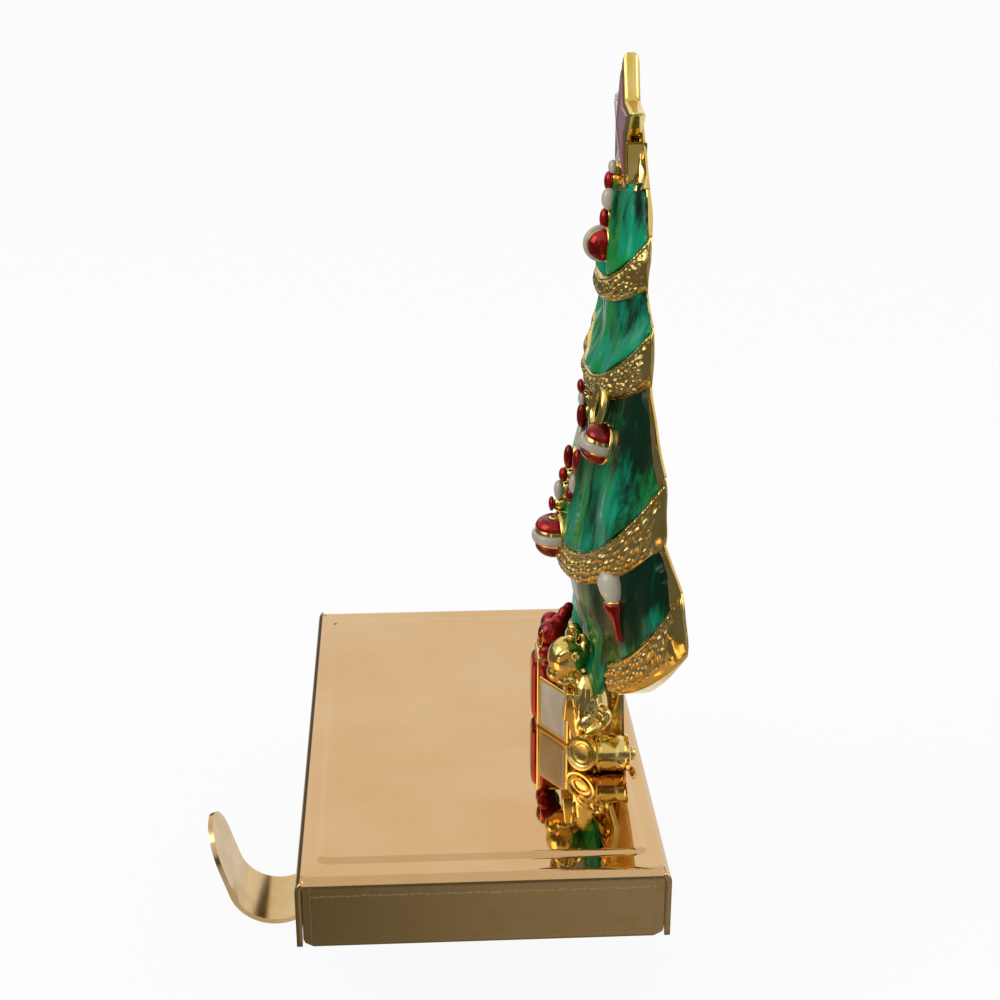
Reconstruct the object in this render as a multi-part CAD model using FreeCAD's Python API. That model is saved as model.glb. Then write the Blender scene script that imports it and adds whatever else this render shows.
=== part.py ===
import FreeCAD, Part

import math
import os

from FreeCAD import Matrix, Vector

os.makedirs("parts", exist_ok=True)

# A mantel stocking holder: a cast and enamelled tree on a weighted sheet metal
# base, with a flat strip hook that hangs in front of the mantel.
# Millimetres. X runs along the mantel, -Y is the room side and +Z is up.
# The origin is the middle of the pad's underside, on the mantel.

# Folded base cover
base_length = 127.0
base_depth = 76.2
base_height = 15.4
sheet = 1.2
fold_radius = 2.4
corner_slit = 0.5
flap_corner_radius = 2.0
panel_rise = 0.7
panel_step = 1.0
panel_end_margin = 6.5
panel_side_margin = 4.0
panel_corner_radius = 2.5

# Pad and ballast inside the cover
pad_thickness = 1.6
pad_proud = 0.6
pad_clearance = 0.4
weight_clearance = 0.3

# Flat strip hook
hook_width = 18.0
hook_thickness = 1.2
hook_fold_radius = 1.7
hook_bend_radius = 11.2
hook_drop = 32.0
hook_tip_rise = 24.2
hook_lean = 17.0
tongue_length = 36.0
groove_clearance = 0.3

# Screws
hook_screw_diameter = 3.0
hook_screw_head = 5.4
hook_screw_length = 8.0
hook_screw_setback = 12.0
tree_screw_diameter = 3.4
tree_screw_head = 6.0
tree_screw_head_height = 2.4
tree_screw_grip = 7.0
tree_screw_spacing = 14.0
tree_screw_inset = 6.9
screw_clearance = 0.4
counterbore_depth = 5.0

# Tree casting: the back is flat in the middle and curls back at the sides
tree_back = 35.6
back_flat_half = 30.0
back_curl_radius = 62.0
back_rim = 1.3
enamel_depth = 0.6
pleat_count = 5
pleat_height = 0.8
neck_inset = 1.2
garland_swell = 1.6
garland_lap = 0.5
knob_count = 8
knob_height = 0.9
trunk_reach = 11.7

# Star at the top
star_height = 153.2
star_radius = 15.0
star_waist = 0.46
star_thickness = 3.6
star_setback = 0.5
star_border = 1.9
star_enamel_height = 1.4

# Ornaments
round_sides = 10
small_sides = 8
gold_line = 0.5
cane_radius = 1.6
cane_crook = 2.3
long_cane = 10.0
short_cane = 6.0
small_ball = 3.8
middle_ball = 4.1
large_ball = 4.9
icicle_ball = 2.8
icicle_length = 10.5

# Parcels and toys at the foot
parcel_ribbon = 1.2
parcel_width = 8.0
parcel_reach = 21.0
parcel_tall = 22.0
parcel_low = 11.5
tall_parcel_x = -3.0
near_parcel_x = 7.0
near_parcel_turn = 30.0
far_parcel_x = -10.5
far_parcel_turn = -15.0
bow_x = 1.0
bow_knot = 2.2
bow_loop = 3.2
bear_x = 16.0
bear_reach = 10.2
bear_body = 4.6
bear_body_half = 11.0
bear_head = 4.3
bear_ear = 1.6
bear_limb = 1.9
wheel_radius = 2.9
wheel_width = 4.6
drum_radius = 4.1
drum_length = 7.6
drum_rim = 0.5


class Curve:
    """The bowed front edge of a tier, in a tilted plane, from side tip to side tip.

    Heights are above the base; reach is how far the front stands out from the tree's back.
    """

    def __init__(self, half_width, tip_height, reach, front_height):
        self.values = (half_width, tip_height, reach, front_height)
        self.tip = Vector(0, back_at(half_width), foot_level + tip_height)
        front = Vector(0, tree_back - reach, foot_level + front_height)
        sagitta = front.distanceToPoint(self.tip)
        self.forward = (front - self.tip).normalize()
        self.radius = (half_width ** 2 + sagitta ** 2) / (2 * sagitta)
        self.centre = front - self.forward * self.radius
        self.half_angle = math.atan2(half_width, self.radius - sagitta)

    def halfway(self, other, swell):
        """The curve midway to another, standing proud by swell."""
        middle = [(mine + theirs) / 2 for mine, theirs in zip(self.values, other.values)]
        middle[0] += swell
        middle[2] += swell
        return Curve(*middle)

    def narrowed(self, amount, lift):
        """The same curve drawn in at the sides and in front, and raised."""
        half_width, tip_height, reach, front_height = self.values
        return Curve(half_width - amount, tip_height + lift, reach - amount, front_height + lift)

    def point(self, across, inset=0.0):
        """The point at a share across the front, from -1 to 1, moved inwards by inset."""
        angle = across * self.half_angle
        radius = self.radius - inset
        sideways = Vector(math.sin(angle) * radius, 0, 0)
        return self.centre + sideways + self.forward * (math.cos(angle) * radius)

    def outline(self, pleats, pleat_height, inset=0.0):
        """The closed outline of a section, pleated in front and run out behind the back."""
        points = []
        for corner in range(2 * pleats + 1):
            crest = pleat_height if corner % 2 else 0.0
            points.append(self.point(corner / pleats - 1, inset - crest))
        behind = self.forward * -(2 * back_rim + self.tip.y - tree_back)
        points.append(points[-1] + behind)
        points.append(points[0] + behind)
        return points


def back_at(x):
    """Where the tree's back lies, at a distance from the middle."""
    beyond = max(0.0, abs(x) - back_flat_half)
    return tree_back + back_curl_radius - math.sqrt(back_curl_radius ** 2 - beyond ** 2)


def box(x0, x1, y0, y1, z0, z1):
    return Part.makeBox(x1 - x0, y1 - y0, z1 - z0, Vector(x0, y0, z0))


def round_section(centre, radius_u, radius_v, axis_u, axis_v, half=False, sides=round_sides):
    """The corners of a facetted round section, or of the half of it on the axis_v side."""
    corners = []
    steps = sides // 2 + 1 if half else sides
    for step in range(steps):
        angle = 2 * math.pi * step / sides
        corners.append(centre + axis_u * (math.cos(angle) * radius_u) + axis_v * (math.sin(angle) * radius_v))
    return corners


def blob(centre, rx, ry, rz, sides=round_sides):
    """A facetted round body with the three half sizes given."""
    sections = []
    for level in (-0.92, -0.45, 0.45, 0.92):
        width = math.sqrt(1 - level ** 2)
        middle = centre + Vector(0, 0, level * rz)
        axes = Vector(1, 0, 0), Vector(0, 1, 0)
        sections.append(round_section(middle, rx * width, ry * width, *axes, sides=sides))
    return faceted_solid(sections)


def turned(profile, start, end, sides=round_sides):
    """A facetted round body along an axis, from pairs of distance past the start and radius."""
    along = (end - start).normalize()
    side = along.cross(Vector(0, 0.6, 0.8)).normalize()
    other = along.cross(side)
    return faceted_solid([round_section(start + along * place, radius, radius, side, other, sides=sides)
                          for place, radius in profile])


def limb(radius, start, end):
    """A facetted round limb with blunted ends."""
    length = start.distanceToPoint(end)
    blunt = 0.8 * radius
    profile = ((-blunt, 0.6 * radius), (0, radius), (length, radius), (length + blunt, 0.6 * radius))
    return turned(profile, start, end, small_sides)


def drum(radius, start, end):
    """A toy drum with a rim at each end."""
    length = start.distanceToPoint(end)
    inner = radius - drum_rim
    rims = (0, drum_rim * 2), (length - drum_rim * 2, length)
    profile = [(rims[0][0], radius), (rims[0][1], radius), (rims[0][1] + drum_rim, inner),
               (rims[1][0] - drum_rim, inner), (rims[1][0], radius), (rims[1][1], radius)]
    return turned(profile, start, end, small_sides)


def rounded_rectangle(half_x, half_y, radius, z):
    """A closed outline with round corners, level at z."""
    side_x = half_x - radius
    side_y = half_y - radius
    corners = ((side_x, side_y, 0), (-side_x, side_y, 90), (-side_x, -side_y, 180), (side_x, -side_y, 270))
    edges = []
    for x, y, turn in corners:
        centre = Vector(x, y, z)
        points = []
        for step in (0, 45, 90):
            angle = math.radians(turn + step)
            points.append(centre + Vector(math.cos(angle), math.sin(angle), 0) * radius)
        edges.append(Part.Arc(*points).toShape())
    sides = []
    for here, following in zip(edges, edges[1:] + edges[:1]):
        sides.append(here)
        sides.append(Part.makeLine(here.Vertexes[-1].Point, following.Vertexes[0].Point))
    return Part.Wire(sides)


def raised_panel(lift, shrink, rise):
    """The embossed panel's body, from the cover's rim level plus lift, pulled in by shrink."""
    half_x = base_length / 2 - panel_end_margin - shrink
    half_y = base_depth / 2 - panel_side_margin - shrink
    low = rounded_rectangle(half_x, half_y, panel_corner_radius, base_height + lift)
    high = rounded_rectangle(half_x - panel_step, half_y - panel_step, panel_corner_radius - panel_step,
                             base_height + lift + rise)
    return Part.makeLoft([low, high], True, True)


def folded_profile(half_span, to_point):
    """A face of sheet bent down at both ends, with its outline's points made by to_point(u, z)."""
    inner = fold_radius - sheet
    bend_z = base_height - fold_radius
    bend_u = half_span - fold_radius
    diagonal = math.sqrt(0.5)
    edges = []
    skins = ((fold_radius, base_height, half_span), (inner, base_height - sheet, half_span - sheet))
    for radius, top, side in skins:
        for sign in (1, -1):
            crest = to_point(sign * (bend_u + radius * diagonal), bend_z + radius * diagonal)
            bend = Part.Arc(to_point(sign * side, bend_z), crest, to_point(sign * bend_u, top))
            edges.append(bend.toShape())
            edges.append(Part.makeLine(to_point(sign * side, pad_proud), to_point(sign * side, bend_z)))
        edges.append(Part.makeLine(to_point(-bend_u, top), to_point(bend_u, top)))
    for sign in (1, -1):
        outer_foot = to_point(sign * half_span, pad_proud)
        edges.append(Part.makeLine(outer_foot, to_point(sign * (half_span - sheet), pad_proud)))
    return Part.Face(Part.Wire(Part.__sortEdges__(edges)))


def make_cover(screw_holes):
    """The brass plated sheet cover: long walls, end flaps between them and an embossed top."""
    half_x = base_length / 2
    half_y = base_depth / 2
    flap_half = half_y - sheet - corner_slit
    walls = folded_profile(half_y, lambda u, z: Vector(-half_x, u, z)).extrude(Vector(base_length, 0, 0))
    opening_half = flap_half + corner_slit
    for sign in (1, -1):
        end = half_x - fold_radius
        limits = sorted((sign * end, sign * (half_x + sheet)))
        walls = walls.cut(box(*limits, -opening_half, opening_half, 0, base_height + sheet))
    ends = folded_profile(half_x, lambda u, z: Vector(u, -flap_half, z)).extrude(Vector(0, 2 * flap_half, 0))
    ends = ends.common(flap_outline(flap_half))
    cover = walls.fuse(ends)
    cover = cover.fuse(raised_panel(-sheet / 2, 0, panel_rise + sheet / 2))
    cover = cover.cut(raised_panel(-2 * sheet, sheet, panel_rise + sheet))
    return cover.cut(screw_holes).removeSplitter()


def flap_outline(flap_half):
    """The end flaps' outline seen along X, with rounded lower corners."""
    shape = box(-base_length, base_length, -flap_half, flap_half, pad_proud, base_height + sheet)
    lower = [edge for edge in shape.Edges if is_lower_long_edge(edge)]
    return shape.makeFillet(flap_corner_radius, lower)


def is_lower_long_edge(edge):
    bounds = edge.BoundBox
    return bounds.XLength > base_length and bounds.ZMax < base_height / 2


def make_weight(screw_holes):
    """The iron slab that keeps the holder on the mantel against the stocking's pull."""
    half_x = base_length / 2 - sheet - weight_clearance
    half_y = base_depth / 2 - sheet - weight_clearance
    slab = box(-half_x, half_x, -half_y, half_y, pad_thickness, base_height - sheet)
    upper = [edge for edge in slab.Edges if edge.BoundBox.ZMin > base_height - 2 * sheet]
    slab = slab.makeChamfer(fold_radius - sheet, upper)
    groove_half = hook_width / 2 + groove_clearance
    groove_end = tongue_back() + groove_clearance
    groove = box(-groove_half, groove_half, -base_depth, groove_end, 0, pad_thickness + hook_thickness)
    return slab.cut(groove).cut(screw_holes)


def make_pad():
    """The non-slip pad, notched at the front for the hook's fold."""
    half_x = base_length / 2 - sheet - pad_clearance
    half_y = base_depth / 2 - sheet - pad_clearance
    pad = box(-half_x, half_x, -half_y, half_y, 0, pad_thickness)
    notch_half = hook_width / 2 + groove_clearance
    notch_end = hook_front() + hook_thickness + hook_fold_radius + groove_clearance
    return pad.cut(box(-notch_half, notch_half, -base_depth, notch_end, 0, pad_thickness))


def hook_front():
    """The front face of the hook's upright, against the inside of the cover's front wall."""
    return -base_depth / 2 + sheet


def tongue_back():
    return hook_front() + tongue_length


def make_hook(screw):
    """One strip: a tongue under the slab, a fold down past the mantel's edge and the open bend."""
    half = hook_width / 2
    front = hook_front()
    fold_centre = Vector(0, front + hook_thickness + hook_fold_radius, pad_thickness - hook_fold_radius)
    bend_centre = Vector(0, front + hook_thickness - hook_bend_radius, hook_bend_radius - hook_drop)
    tongue = box(-half, half, fold_centre.y, tongue_back(), pad_thickness, pad_thickness + hook_thickness)
    fold = bent_strip(fold_centre, hook_fold_radius, 180, 90)
    upright = box(-half, half, front, front + hook_thickness, bend_centre.z, fold_centre.z)
    bend_start = 0
    bend_end = -(180 - hook_lean)
    bend = bent_strip(bend_centre, hook_bend_radius - hook_thickness, bend_start, bend_end)
    hook = tongue.fuse([fold, upright, bend, hook_limb(bend_centre, math.radians(bend_end))])
    return hook.cut(screw).removeSplitter()


def bent_strip(centre, inner_radius, start, end):
    """A piece of strip bent about an X axis, between two angles measured from +Y."""
    start_angle = math.radians(start)
    turn = end - start
    out = Vector(0, math.cos(start_angle), math.sin(start_angle))
    corner = centre + out * inner_radius - Vector(hook_width / 2, 0, 0)
    across = Vector(hook_width, 0, 0)
    through = out * hook_thickness
    section = Part.makePolygon([corner, corner + across, corner + across + through, corner + through, corner])
    return Part.Face(section).revolve(centre, Vector(1, 0, 0), turn)


def hook_limb(bend_centre, end_angle):
    """The straight outer limb, with its half-round tip."""
    half = hook_width / 2
    out = Vector(0, math.cos(end_angle), math.sin(end_angle))
    along = Vector(0, math.sin(end_angle), -math.cos(end_angle))
    start = bend_centre + out * (hook_bend_radius - hook_thickness)
    tip_level = hook_tip_rise - hook_drop
    length = (tip_level - start.z) / along.z - half
    left = start - Vector(half, 0, 0)
    right = start + Vector(half, 0, 0)
    rise = along * length
    edges = [
        Part.makeLine(left, right),
        Part.makeLine(right, right + rise),
        Part.Arc(right + rise, start + along * (length + half), left + rise).toShape(),
        Part.makeLine(left + rise, left),
    ]
    return Part.Face(Part.Wire(edges)).extrude(out * hook_thickness)


def make_hook_screw():
    """The countersunk screw, flush with the tongue and threaded into the slab."""
    place = Vector(0, tongue_back() - hook_screw_setback, pad_thickness)
    outline = [place, place + Vector(hook_screw_head / 2, 0, 0)]
    outline.append(place + Vector(hook_screw_diameter / 2, 0, hook_thickness))
    outline.append(place + Vector(hook_screw_diameter / 2, 0, hook_screw_length))
    outline.append(place + Vector(0, 0, hook_screw_length))
    return Part.Face(Part.makePolygon(outline + outline[:1])).revolve(place, Vector(0, 0, 1), 360)


def tree_screw_places():
    y = tree_back - tree_screw_inset
    return [Vector(-tree_screw_spacing / 2, y, 0), Vector(tree_screw_spacing / 2, y, 0)]


def tree_screw(place):
    """A cheese head screw, up through slab and cover into the casting's foot."""
    seat = Vector(place.x, place.y, pad_thickness + counterbore_depth)
    under = seat - Vector(0, 0, tree_screw_head_height)
    head = Part.makeCylinder(tree_screw_head / 2, tree_screw_head_height, under)
    length = foot_level + tree_screw_grip - seat.z
    return head.fuse(Part.makeCylinder(tree_screw_diameter / 2, length, seat))


def tree_screw_bore(place):
    """The clearance hole and counterbore for one of the tree's screws."""
    radius = tree_screw_diameter / 2 + screw_clearance / 2
    bore = Part.makeCylinder(radius, foot_level, place)
    recess_radius = tree_screw_head / 2 + screw_clearance
    return bore.fuse(Part.makeCylinder(recess_radius, pad_thickness + counterbore_depth, place))


def faceted_solid(sections):
    """A solid through level-by-level outlines of as many points each, with flat triangular sides."""
    faces = [Part.Face(Part.makePolygon(section + section[:1])) for section in (sections[0], sections[-1])]
    for high, low in zip(sections, sections[1:]):
        for here in range(len(high)):
            following = (here + 1) % len(high)
            first = [high[here], low[here], low[following], high[here]]
            second = [high[here], low[following], high[following], high[here]]
            faces.append(Part.Face(Part.makePolygon(first)))
            faces.append(Part.Face(Part.makePolygon(second)))
    return Part.makeSolid(Part.makeShell(faces))


def skirt(neck, hem, inset=0.0):
    """One tier's pleated body, from its neck to its hem."""
    return faceted_solid([curve.outline(pleat_count, pleat_height, inset) for curve in (neck, hem)])


def garland(upper, lower):
    """A knobbly band of tinsel that swells between its two edges."""
    middle = upper.halfway(lower, garland_swell)
    return faceted_solid([curve.outline(knob_count, knob_height, inset)
                          for curve, inset in ((upper, -garland_lap), (middle, 0.0), (lower, -garland_lap))])


def before_back(offset=0.0):
    """All the room in front of the tree's curled back, less an offset."""
    front_y = -base_depth
    xs = [back_flat_half, (base_length / 2 + back_flat_half) / 2, base_length / 2]
    near, middle, far = [Vector(x, back_at(x) - offset, 0) for x in xs]
    near_left, middle_left, far_left = [Vector(-point.x, point.y, 0) for point in (near, middle, far)]
    corners = [Vector(far_left.x, front_y, 0), Vector(far.x, front_y, 0)]
    edges = [
        Part.makeLine(corners[0], corners[1]),
        Part.makeLine(corners[1], far),
        Part.Arc(far, middle, near).toShape(),
        Part.makeLine(near, near_left),
        Part.Arc(near_left, middle_left, far_left).toShape(),
        Part.makeLine(far_left, corners[0]),
    ]
    return Part.Face(Part.Wire(edges)).extrude(Vector(0, 0, 2 * star_height))


def surface_matrix(neck, hem, across, down, turn=0.0):
    """A local frame on a skirt: -Y out of the surface, Z up along it, turned about the outward axis."""
    step = 0.01
    here = skirt_point(neck, hem, across, down)
    side = (skirt_point(neck, hem, across + step, down) - here).normalize()
    up = (skirt_point(neck, hem, across, down - step) - here).normalize()
    inward = up.cross(side).normalize()
    up = side.cross(inward)
    angle = math.radians(turn)
    side, up = side * math.cos(angle) + up * math.sin(angle), up * math.cos(angle) - side * math.sin(angle)
    return Matrix(side.x, inward.x, up.x, here.x,
                  side.y, inward.y, up.y, here.y,
                  side.z, inward.z, up.z, here.z,
                  0, 0, 0, 1)


def skirt_point(neck, hem, across, down):
    return neck.point(across) * (1 - down) + hem.point(across) * down


def bauble(radius, colours):
    """A ball with bands of enamel in front and a plain gold back."""
    band = 2 * radius / len(colours)
    sections = []
    fills = []
    for index, colour in enumerate(colours):
        low = -radius + index * band
        fronts = []
        for level in (max(low, -0.95 * radius), low + band / 2, min(low + band, 0.95 * radius)):
            width = math.sqrt(radius ** 2 - level ** 2)
            sides = Vector(0, 0, level), width, width, Vector(1, 0, 0), Vector(0, -1, 0)
            fronts.append(round_section(*sides, True))
            if not sections or sections[-1][0].z < level:
                sections.append(round_section(*sides))
        fills.append((colour, faceted_solid(fronts)))
    return faceted_solid(sections).cut([fill for colour, fill in fills]), fills


def candy_cane(stem, colours):
    """A striped cane whose stem hangs down from the origin and whose crook turns to one side."""
    stripe = stem / len(colours)
    bend = math.pi * cane_crook / 4
    spans = [(index * stripe - stem, (index + 1) * stripe - stem) for index in range(len(colours))]
    spans += [(0, bend, 2 * bend), (2 * bend, 3.4 * bend)]
    whole = [cane_section(-stem, False)]
    fills = []
    for index, travel in enumerate(spans):
        whole.extend(cane_section(place, False) for place in travel[1:])
        fronts = [cane_section(place, True) for place in travel]
        fills.append((colours[index % 2], faceted_solid(fronts)))
    return faceted_solid(whole).cut([fill for colour, fill in fills]), fills


def cane_section(travel, half):
    """The cane's section at a distance along it, from the stem's top and over the crook."""
    turn = max(0.0, travel) / cane_crook
    out = Vector(-math.cos(turn), 0, math.sin(turn))
    centre = Vector(cane_crook, 0, 0) + out * cane_crook + Vector(0, 0, min(0.0, travel))
    return round_section(centre, cane_radius, cane_radius, out, Vector(0, -1, 0), half, small_sides)


def icicle(ball_radius, length):
    """A white ball over a tapering red drop."""
    gold, fills = bauble(ball_radius, ("white",))
    levels = ((0, 0.9), (-length * 0.5, 0.65), (-length, 0.25))
    sides = Vector(1, 0, 0), Vector(0, -1, 0)
    below = Vector(0, 0, -ball_radius * 0.7)
    widths = [(below + Vector(0, 0, drop), ball_radius * share) for drop, share in levels]
    red = faceted_solid([round_section(place, width, width, *sides, True) for place, width in widths])
    drop = faceted_solid([round_section(place, width, width, *sides) for place, width in widths])
    red = red.cut([fills[0][1], gold])
    return gold.fuse(drop.cut([red, fills[0][1]])), fills + [("red", red)]


def hang(ornament, tier, across, down, turn=0.0, proud=0.0):
    """An ornament's gold and its fills, moved to its place on a tier."""
    gold, fills = ornament
    place = surface_matrix(*tier, across, down, turn)
    place.move(place.submatrix(3) * Vector(0, -proud, 0))
    return gold.transformed(place), [(colour, fill.transformed(place)) for colour, fill in fills]


def parcel(width, depth, height, x, reach, turn, colour, coloured_side):
    """A wrapped box on the base with enamelled faces, split by a ribbon left in gold."""
    body = box(0, width, 0, depth, 0, height)
    half_ribbon = parcel_ribbon / 2
    low = gold_line
    high = height - gold_line
    if coloured_side:
        fill = box(low, width, 0, enamel_depth, low, high)
        side = box(width - enamel_depth, width, 0, depth, low, high)
        fill = fill.fuse(side.cut(box(0, width, depth / 2 - half_ribbon, depth / 2 + half_ribbon, 0, height)))
    else:
        fill = box(low, width - low, 0, enamel_depth, low, high)
    fill = fill.cut(box(width / 2 - half_ribbon, width / 2 + half_ribbon, 0, enamel_depth, 0, height))
    rotation = FreeCAD.Rotation(Vector(0, 0, 1), turn)
    place = FreeCAD.Placement(from_foot(x, reach, 0), rotation).toMatrix()
    return body.cut(fill).transformed(place), [(colour, fill.transformed(place))]


def from_foot(x, reach, height):
    """A point by its distance in front of the tree's back and its height above the base."""
    return Vector(x, tree_back - reach, foot_level + height)


def teddy_bear():
    """The seated bear at the foot: body, head, muzzle, ears, arm and leg."""
    body = from_foot(bear_x, bear_reach, bear_body_half)
    head = body + Vector(-0.45 * bear_body, -bear_body, bear_body_half + 0.1 * bear_head)
    muzzle = 0.45 * bear_head
    snout = head + Vector(-muzzle * 0.5, -0.85 * bear_head, -0.7 * bear_head)
    crown_of_head = head + Vector(0, 0.5 * bear_head, 0.9 * bear_head)
    ears = [crown_of_head + Vector(share * bear_head, 0, 0) for share in (-0.75, 0.65)]
    shoulder = body + Vector(0.8 * bear_body, 0, 0.3 * bear_body_half)
    hand = shoulder + Vector(bear_limb / 2, 0.6 * bear_body, -0.6 * bear_body_half)
    hip = body + Vector(0.45 * bear_body, -0.75 * bear_body, 1.8 * bear_limb - bear_body_half)
    foot = hip + Vector(1.8 * bear_limb, 0, 0)
    return [
        blob(body, bear_body, bear_body, bear_body_half),
        blob(head, bear_head, bear_head, bear_head),
        blob(snout, muzzle, muzzle, muzzle, small_sides),
        blob(ears[0], bear_ear, bear_ear, bear_ear, small_sides),
        blob(ears[1], bear_ear, bear_ear, bear_ear, small_sides),
        limb(bear_limb, shoulder, hand),
        limb(bear_limb, hip, foot),
    ]


def toys():
    """The other gold toys beside the bear: a wheel and a lying drum."""
    wheel = from_foot(bear_x + bear_body, bear_reach + wheel_radius, wheel_radius)
    lying = from_foot(bear_x + bear_body + wheel_radius, bear_reach - bear_limb / 2, drum_radius)
    return [
        turned(((0, wheel_radius), (wheel_width, wheel_radius)), wheel, wheel + Vector(1, 0, 0)),
        drum(drum_radius, lying, lying + Vector(0, drum_length, 0)),
    ]


def ribbon_bow():
    """The red bow on the tall parcel: two loops and a knot."""
    knot = from_foot(bow_x, parcel_reach - bow_knot, parcel_tall + 0.6 * bow_knot)
    loops = []
    for side in (-1, 1):
        middle = knot + Vector(side * bow_loop, 0.3 * bow_knot, 0.4 * bow_loop)
        loops.append(blob(middle, bow_loop, bow_knot, bow_loop))
    return blob(knot, bow_knot, bow_knot, bow_knot, small_sides).fuse(loops)


foot_level = base_height + panel_rise

# The tree's crown and the upper and lower edge of each garland, from the top down
peak = Curve(5.0, 141.0, 3.8, 138.0)
crown = Curve(13.0, 129.0, 5.0, 126.5)
garland_edges = [
    (Curve(19.5, 119.5, 7.6, 107.2), Curve(20.0, 108.6, 7.4, 102.0)),
    (Curve(29.5, 103.6, 9.6, 86.6), Curve(30.0, 91.4, 9.2, 81.5)),
    (Curve(44.0, 77.4, 14.7, 47.0), Curve(45.5, 63.6, 15.1, 40.5)),
    (Curve(52.0, 56.0, 9.3, 22.0), Curve(55.0, 43.6, 8.7, 15.5)),
]
lip = Curve(54.0, 42.2, 6.2, 14.0)
trunk_top = Curve(9.0, 20.0, 6.7, 20.0)
trunk_foot = Curve(15.0, 0.0, trunk_reach, 0.0)


def star_corners(radius, y):
    """The star's ten corners in the XZ plane."""
    centre = Vector(0, y, foot_level + star_height - star_radius)
    points = []
    for index in range(10):
        angle = math.radians(90 + 36 * index)
        reach = radius if index % 2 == 0 else radius * star_waist
        points.append(centre + Vector(math.cos(angle) * reach, 0, math.sin(angle) * reach))
    return points


def make_star():
    """The star's gold body and the raised enamel dome that fills its face."""
    back = tree_back - star_setback
    front = back - star_thickness
    fill_radius = star_radius - 2 * star_border
    body = faceted_solid([star_corners(star_radius, back), star_corners(star_radius, front)])
    fill = faceted_solid([star_corners(fill_radius, front + enamel_depth), star_corners(fill_radius, front),
                          star_corners(fill_radius / 2, front - star_enamel_height)])
    return body.cut(fill), fill


def make_tree():
    """The gold casting and, by colour, the enamel that fills it."""
    room = before_back()
    cell_room = before_back(back_rim)
    gold = [skirt(peak, crown)]
    green = []
    tiers = []
    neck = crown
    for upper, lower in garland_edges:
        tiers.append((neck, upper))
        outer = skirt(neck, upper)
        fill = outer.common(cell_room).cut(skirt(neck, upper, enamel_depth))
        green.append(fill)
        gold.append(outer.cut(fill))
        gold.append(garland(upper, lower))
        neck = lower.narrowed(neck_inset, garland_lap)
    gold.append(skirt(garland_edges[-1][1], lip))
    gold.append(skirt(trunk_top, trunk_foot))
    star, star_fill = make_star()
    gold.append(star)
    fills = []
    for ornament_gold, ornament_fills in ornaments(tiers) + parcels():
        gold.append(ornament_gold)
        fills.extend(ornament_fills)
    gold.extend(teddy_bear() + toys())
    gold = [piece.common(room) for piece in gold]
    return gold[0].fuse(gold[1:]), green, fills, star_fill


def ornaments(tiers):
    """Everything that hangs on the tree, as pairs of gold setting and coloured fills."""
    stripes = ("red", "white", "red")
    return [
        hang(candy_cane(long_cane, stripes), tiers[0], across=0.05, down=0.17),
        hang(bauble(small_ball, stripes), tiers[0], across=0.08, down=0.65, turn=90),
        hang(candy_cane(long_cane, stripes), tiers[2], across=0.12, down=0.1),
        hang(candy_cane(short_cane, stripes[:2]), tiers[2], across=0.15, down=0.5),
        hang(candy_cane(short_cane, stripes[:2]), tiers[2], across=0.0, down=0.66),
        hang(bauble(middle_ball, stripes), tiers[2], across=0.42, down=0.3),
        hang(bauble(large_ball, stripes), tiers[2], across=-0.02, down=1.03, proud=garland_swell),
        hang(icicle(icicle_ball, icicle_length), tiers[3], across=0.56, down=0.08, turn=-10, proud=gold_line),
    ]


def parcels():
    """The wrapped boxes at the foot of the tree."""
    low_reach = parcel_reach - bow_knot
    return [
        parcel(parcel_width, parcel_width, parcel_tall, tall_parcel_x, parcel_reach, 0, "red", True),
        parcel(parcel_width * 0.9, parcel_width, parcel_low, near_parcel_x, low_reach, near_parcel_turn,
               "white", False),
        parcel(parcel_width, parcel_width, parcel_low, far_parcel_x, low_reach, far_parcel_turn,
               "white", False),
    ]


casting, green, fills, star_fill = make_tree()
bow = ribbon_bow()
red = [fill for colour, fill in fills if colour == "red"]
white = [fill for colour, fill in fills if colour == "white"]
red = [fill.cut(casting) for fill in red] + [bow.cut(casting)]
white = [fill.cut([casting] + red) for fill in white]
green = [fill.cut([casting] + red + white) for fill in green]
tree_screws = [tree_screw(place) for place in tree_screw_places()]
casting = casting.cut(tree_screws)
no_holes = [tree_screw_bore(place) for place in tree_screw_places()]
hook_screw = make_hook_screw()
nodes = {
    "base_cover": make_cover(no_holes),
    "base_weight": make_weight(no_holes + [hook_screw]),
    "base_pad": make_pad(),
    "hook": make_hook(hook_screw),
    "hook_screw": hook_screw,
    "tree_screws": Part.makeCompound(tree_screws),
    "tree_casting": casting,
    "star_enamel": star_fill.cut(casting),
    "green_enamel": Part.makeCompound(green),
    "red_enamel": Part.makeCompound(red),
    "white_enamel": Part.makeCompound(white),
}
for name, shape in nodes.items():
    print(name, shape.isValid(), len(shape.Solids), round(shape.Volume, 1))
    Part.makeCompound(shape.Solids).exportStep("parts/" + name + ".step")
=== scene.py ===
"""The looks of a mantel stocking holder: a plated base, its hook and a cast tree filled with enamel."""
import math

import bmesh
import bpy
from mathutils import Matrix, Vector, noise


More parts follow.
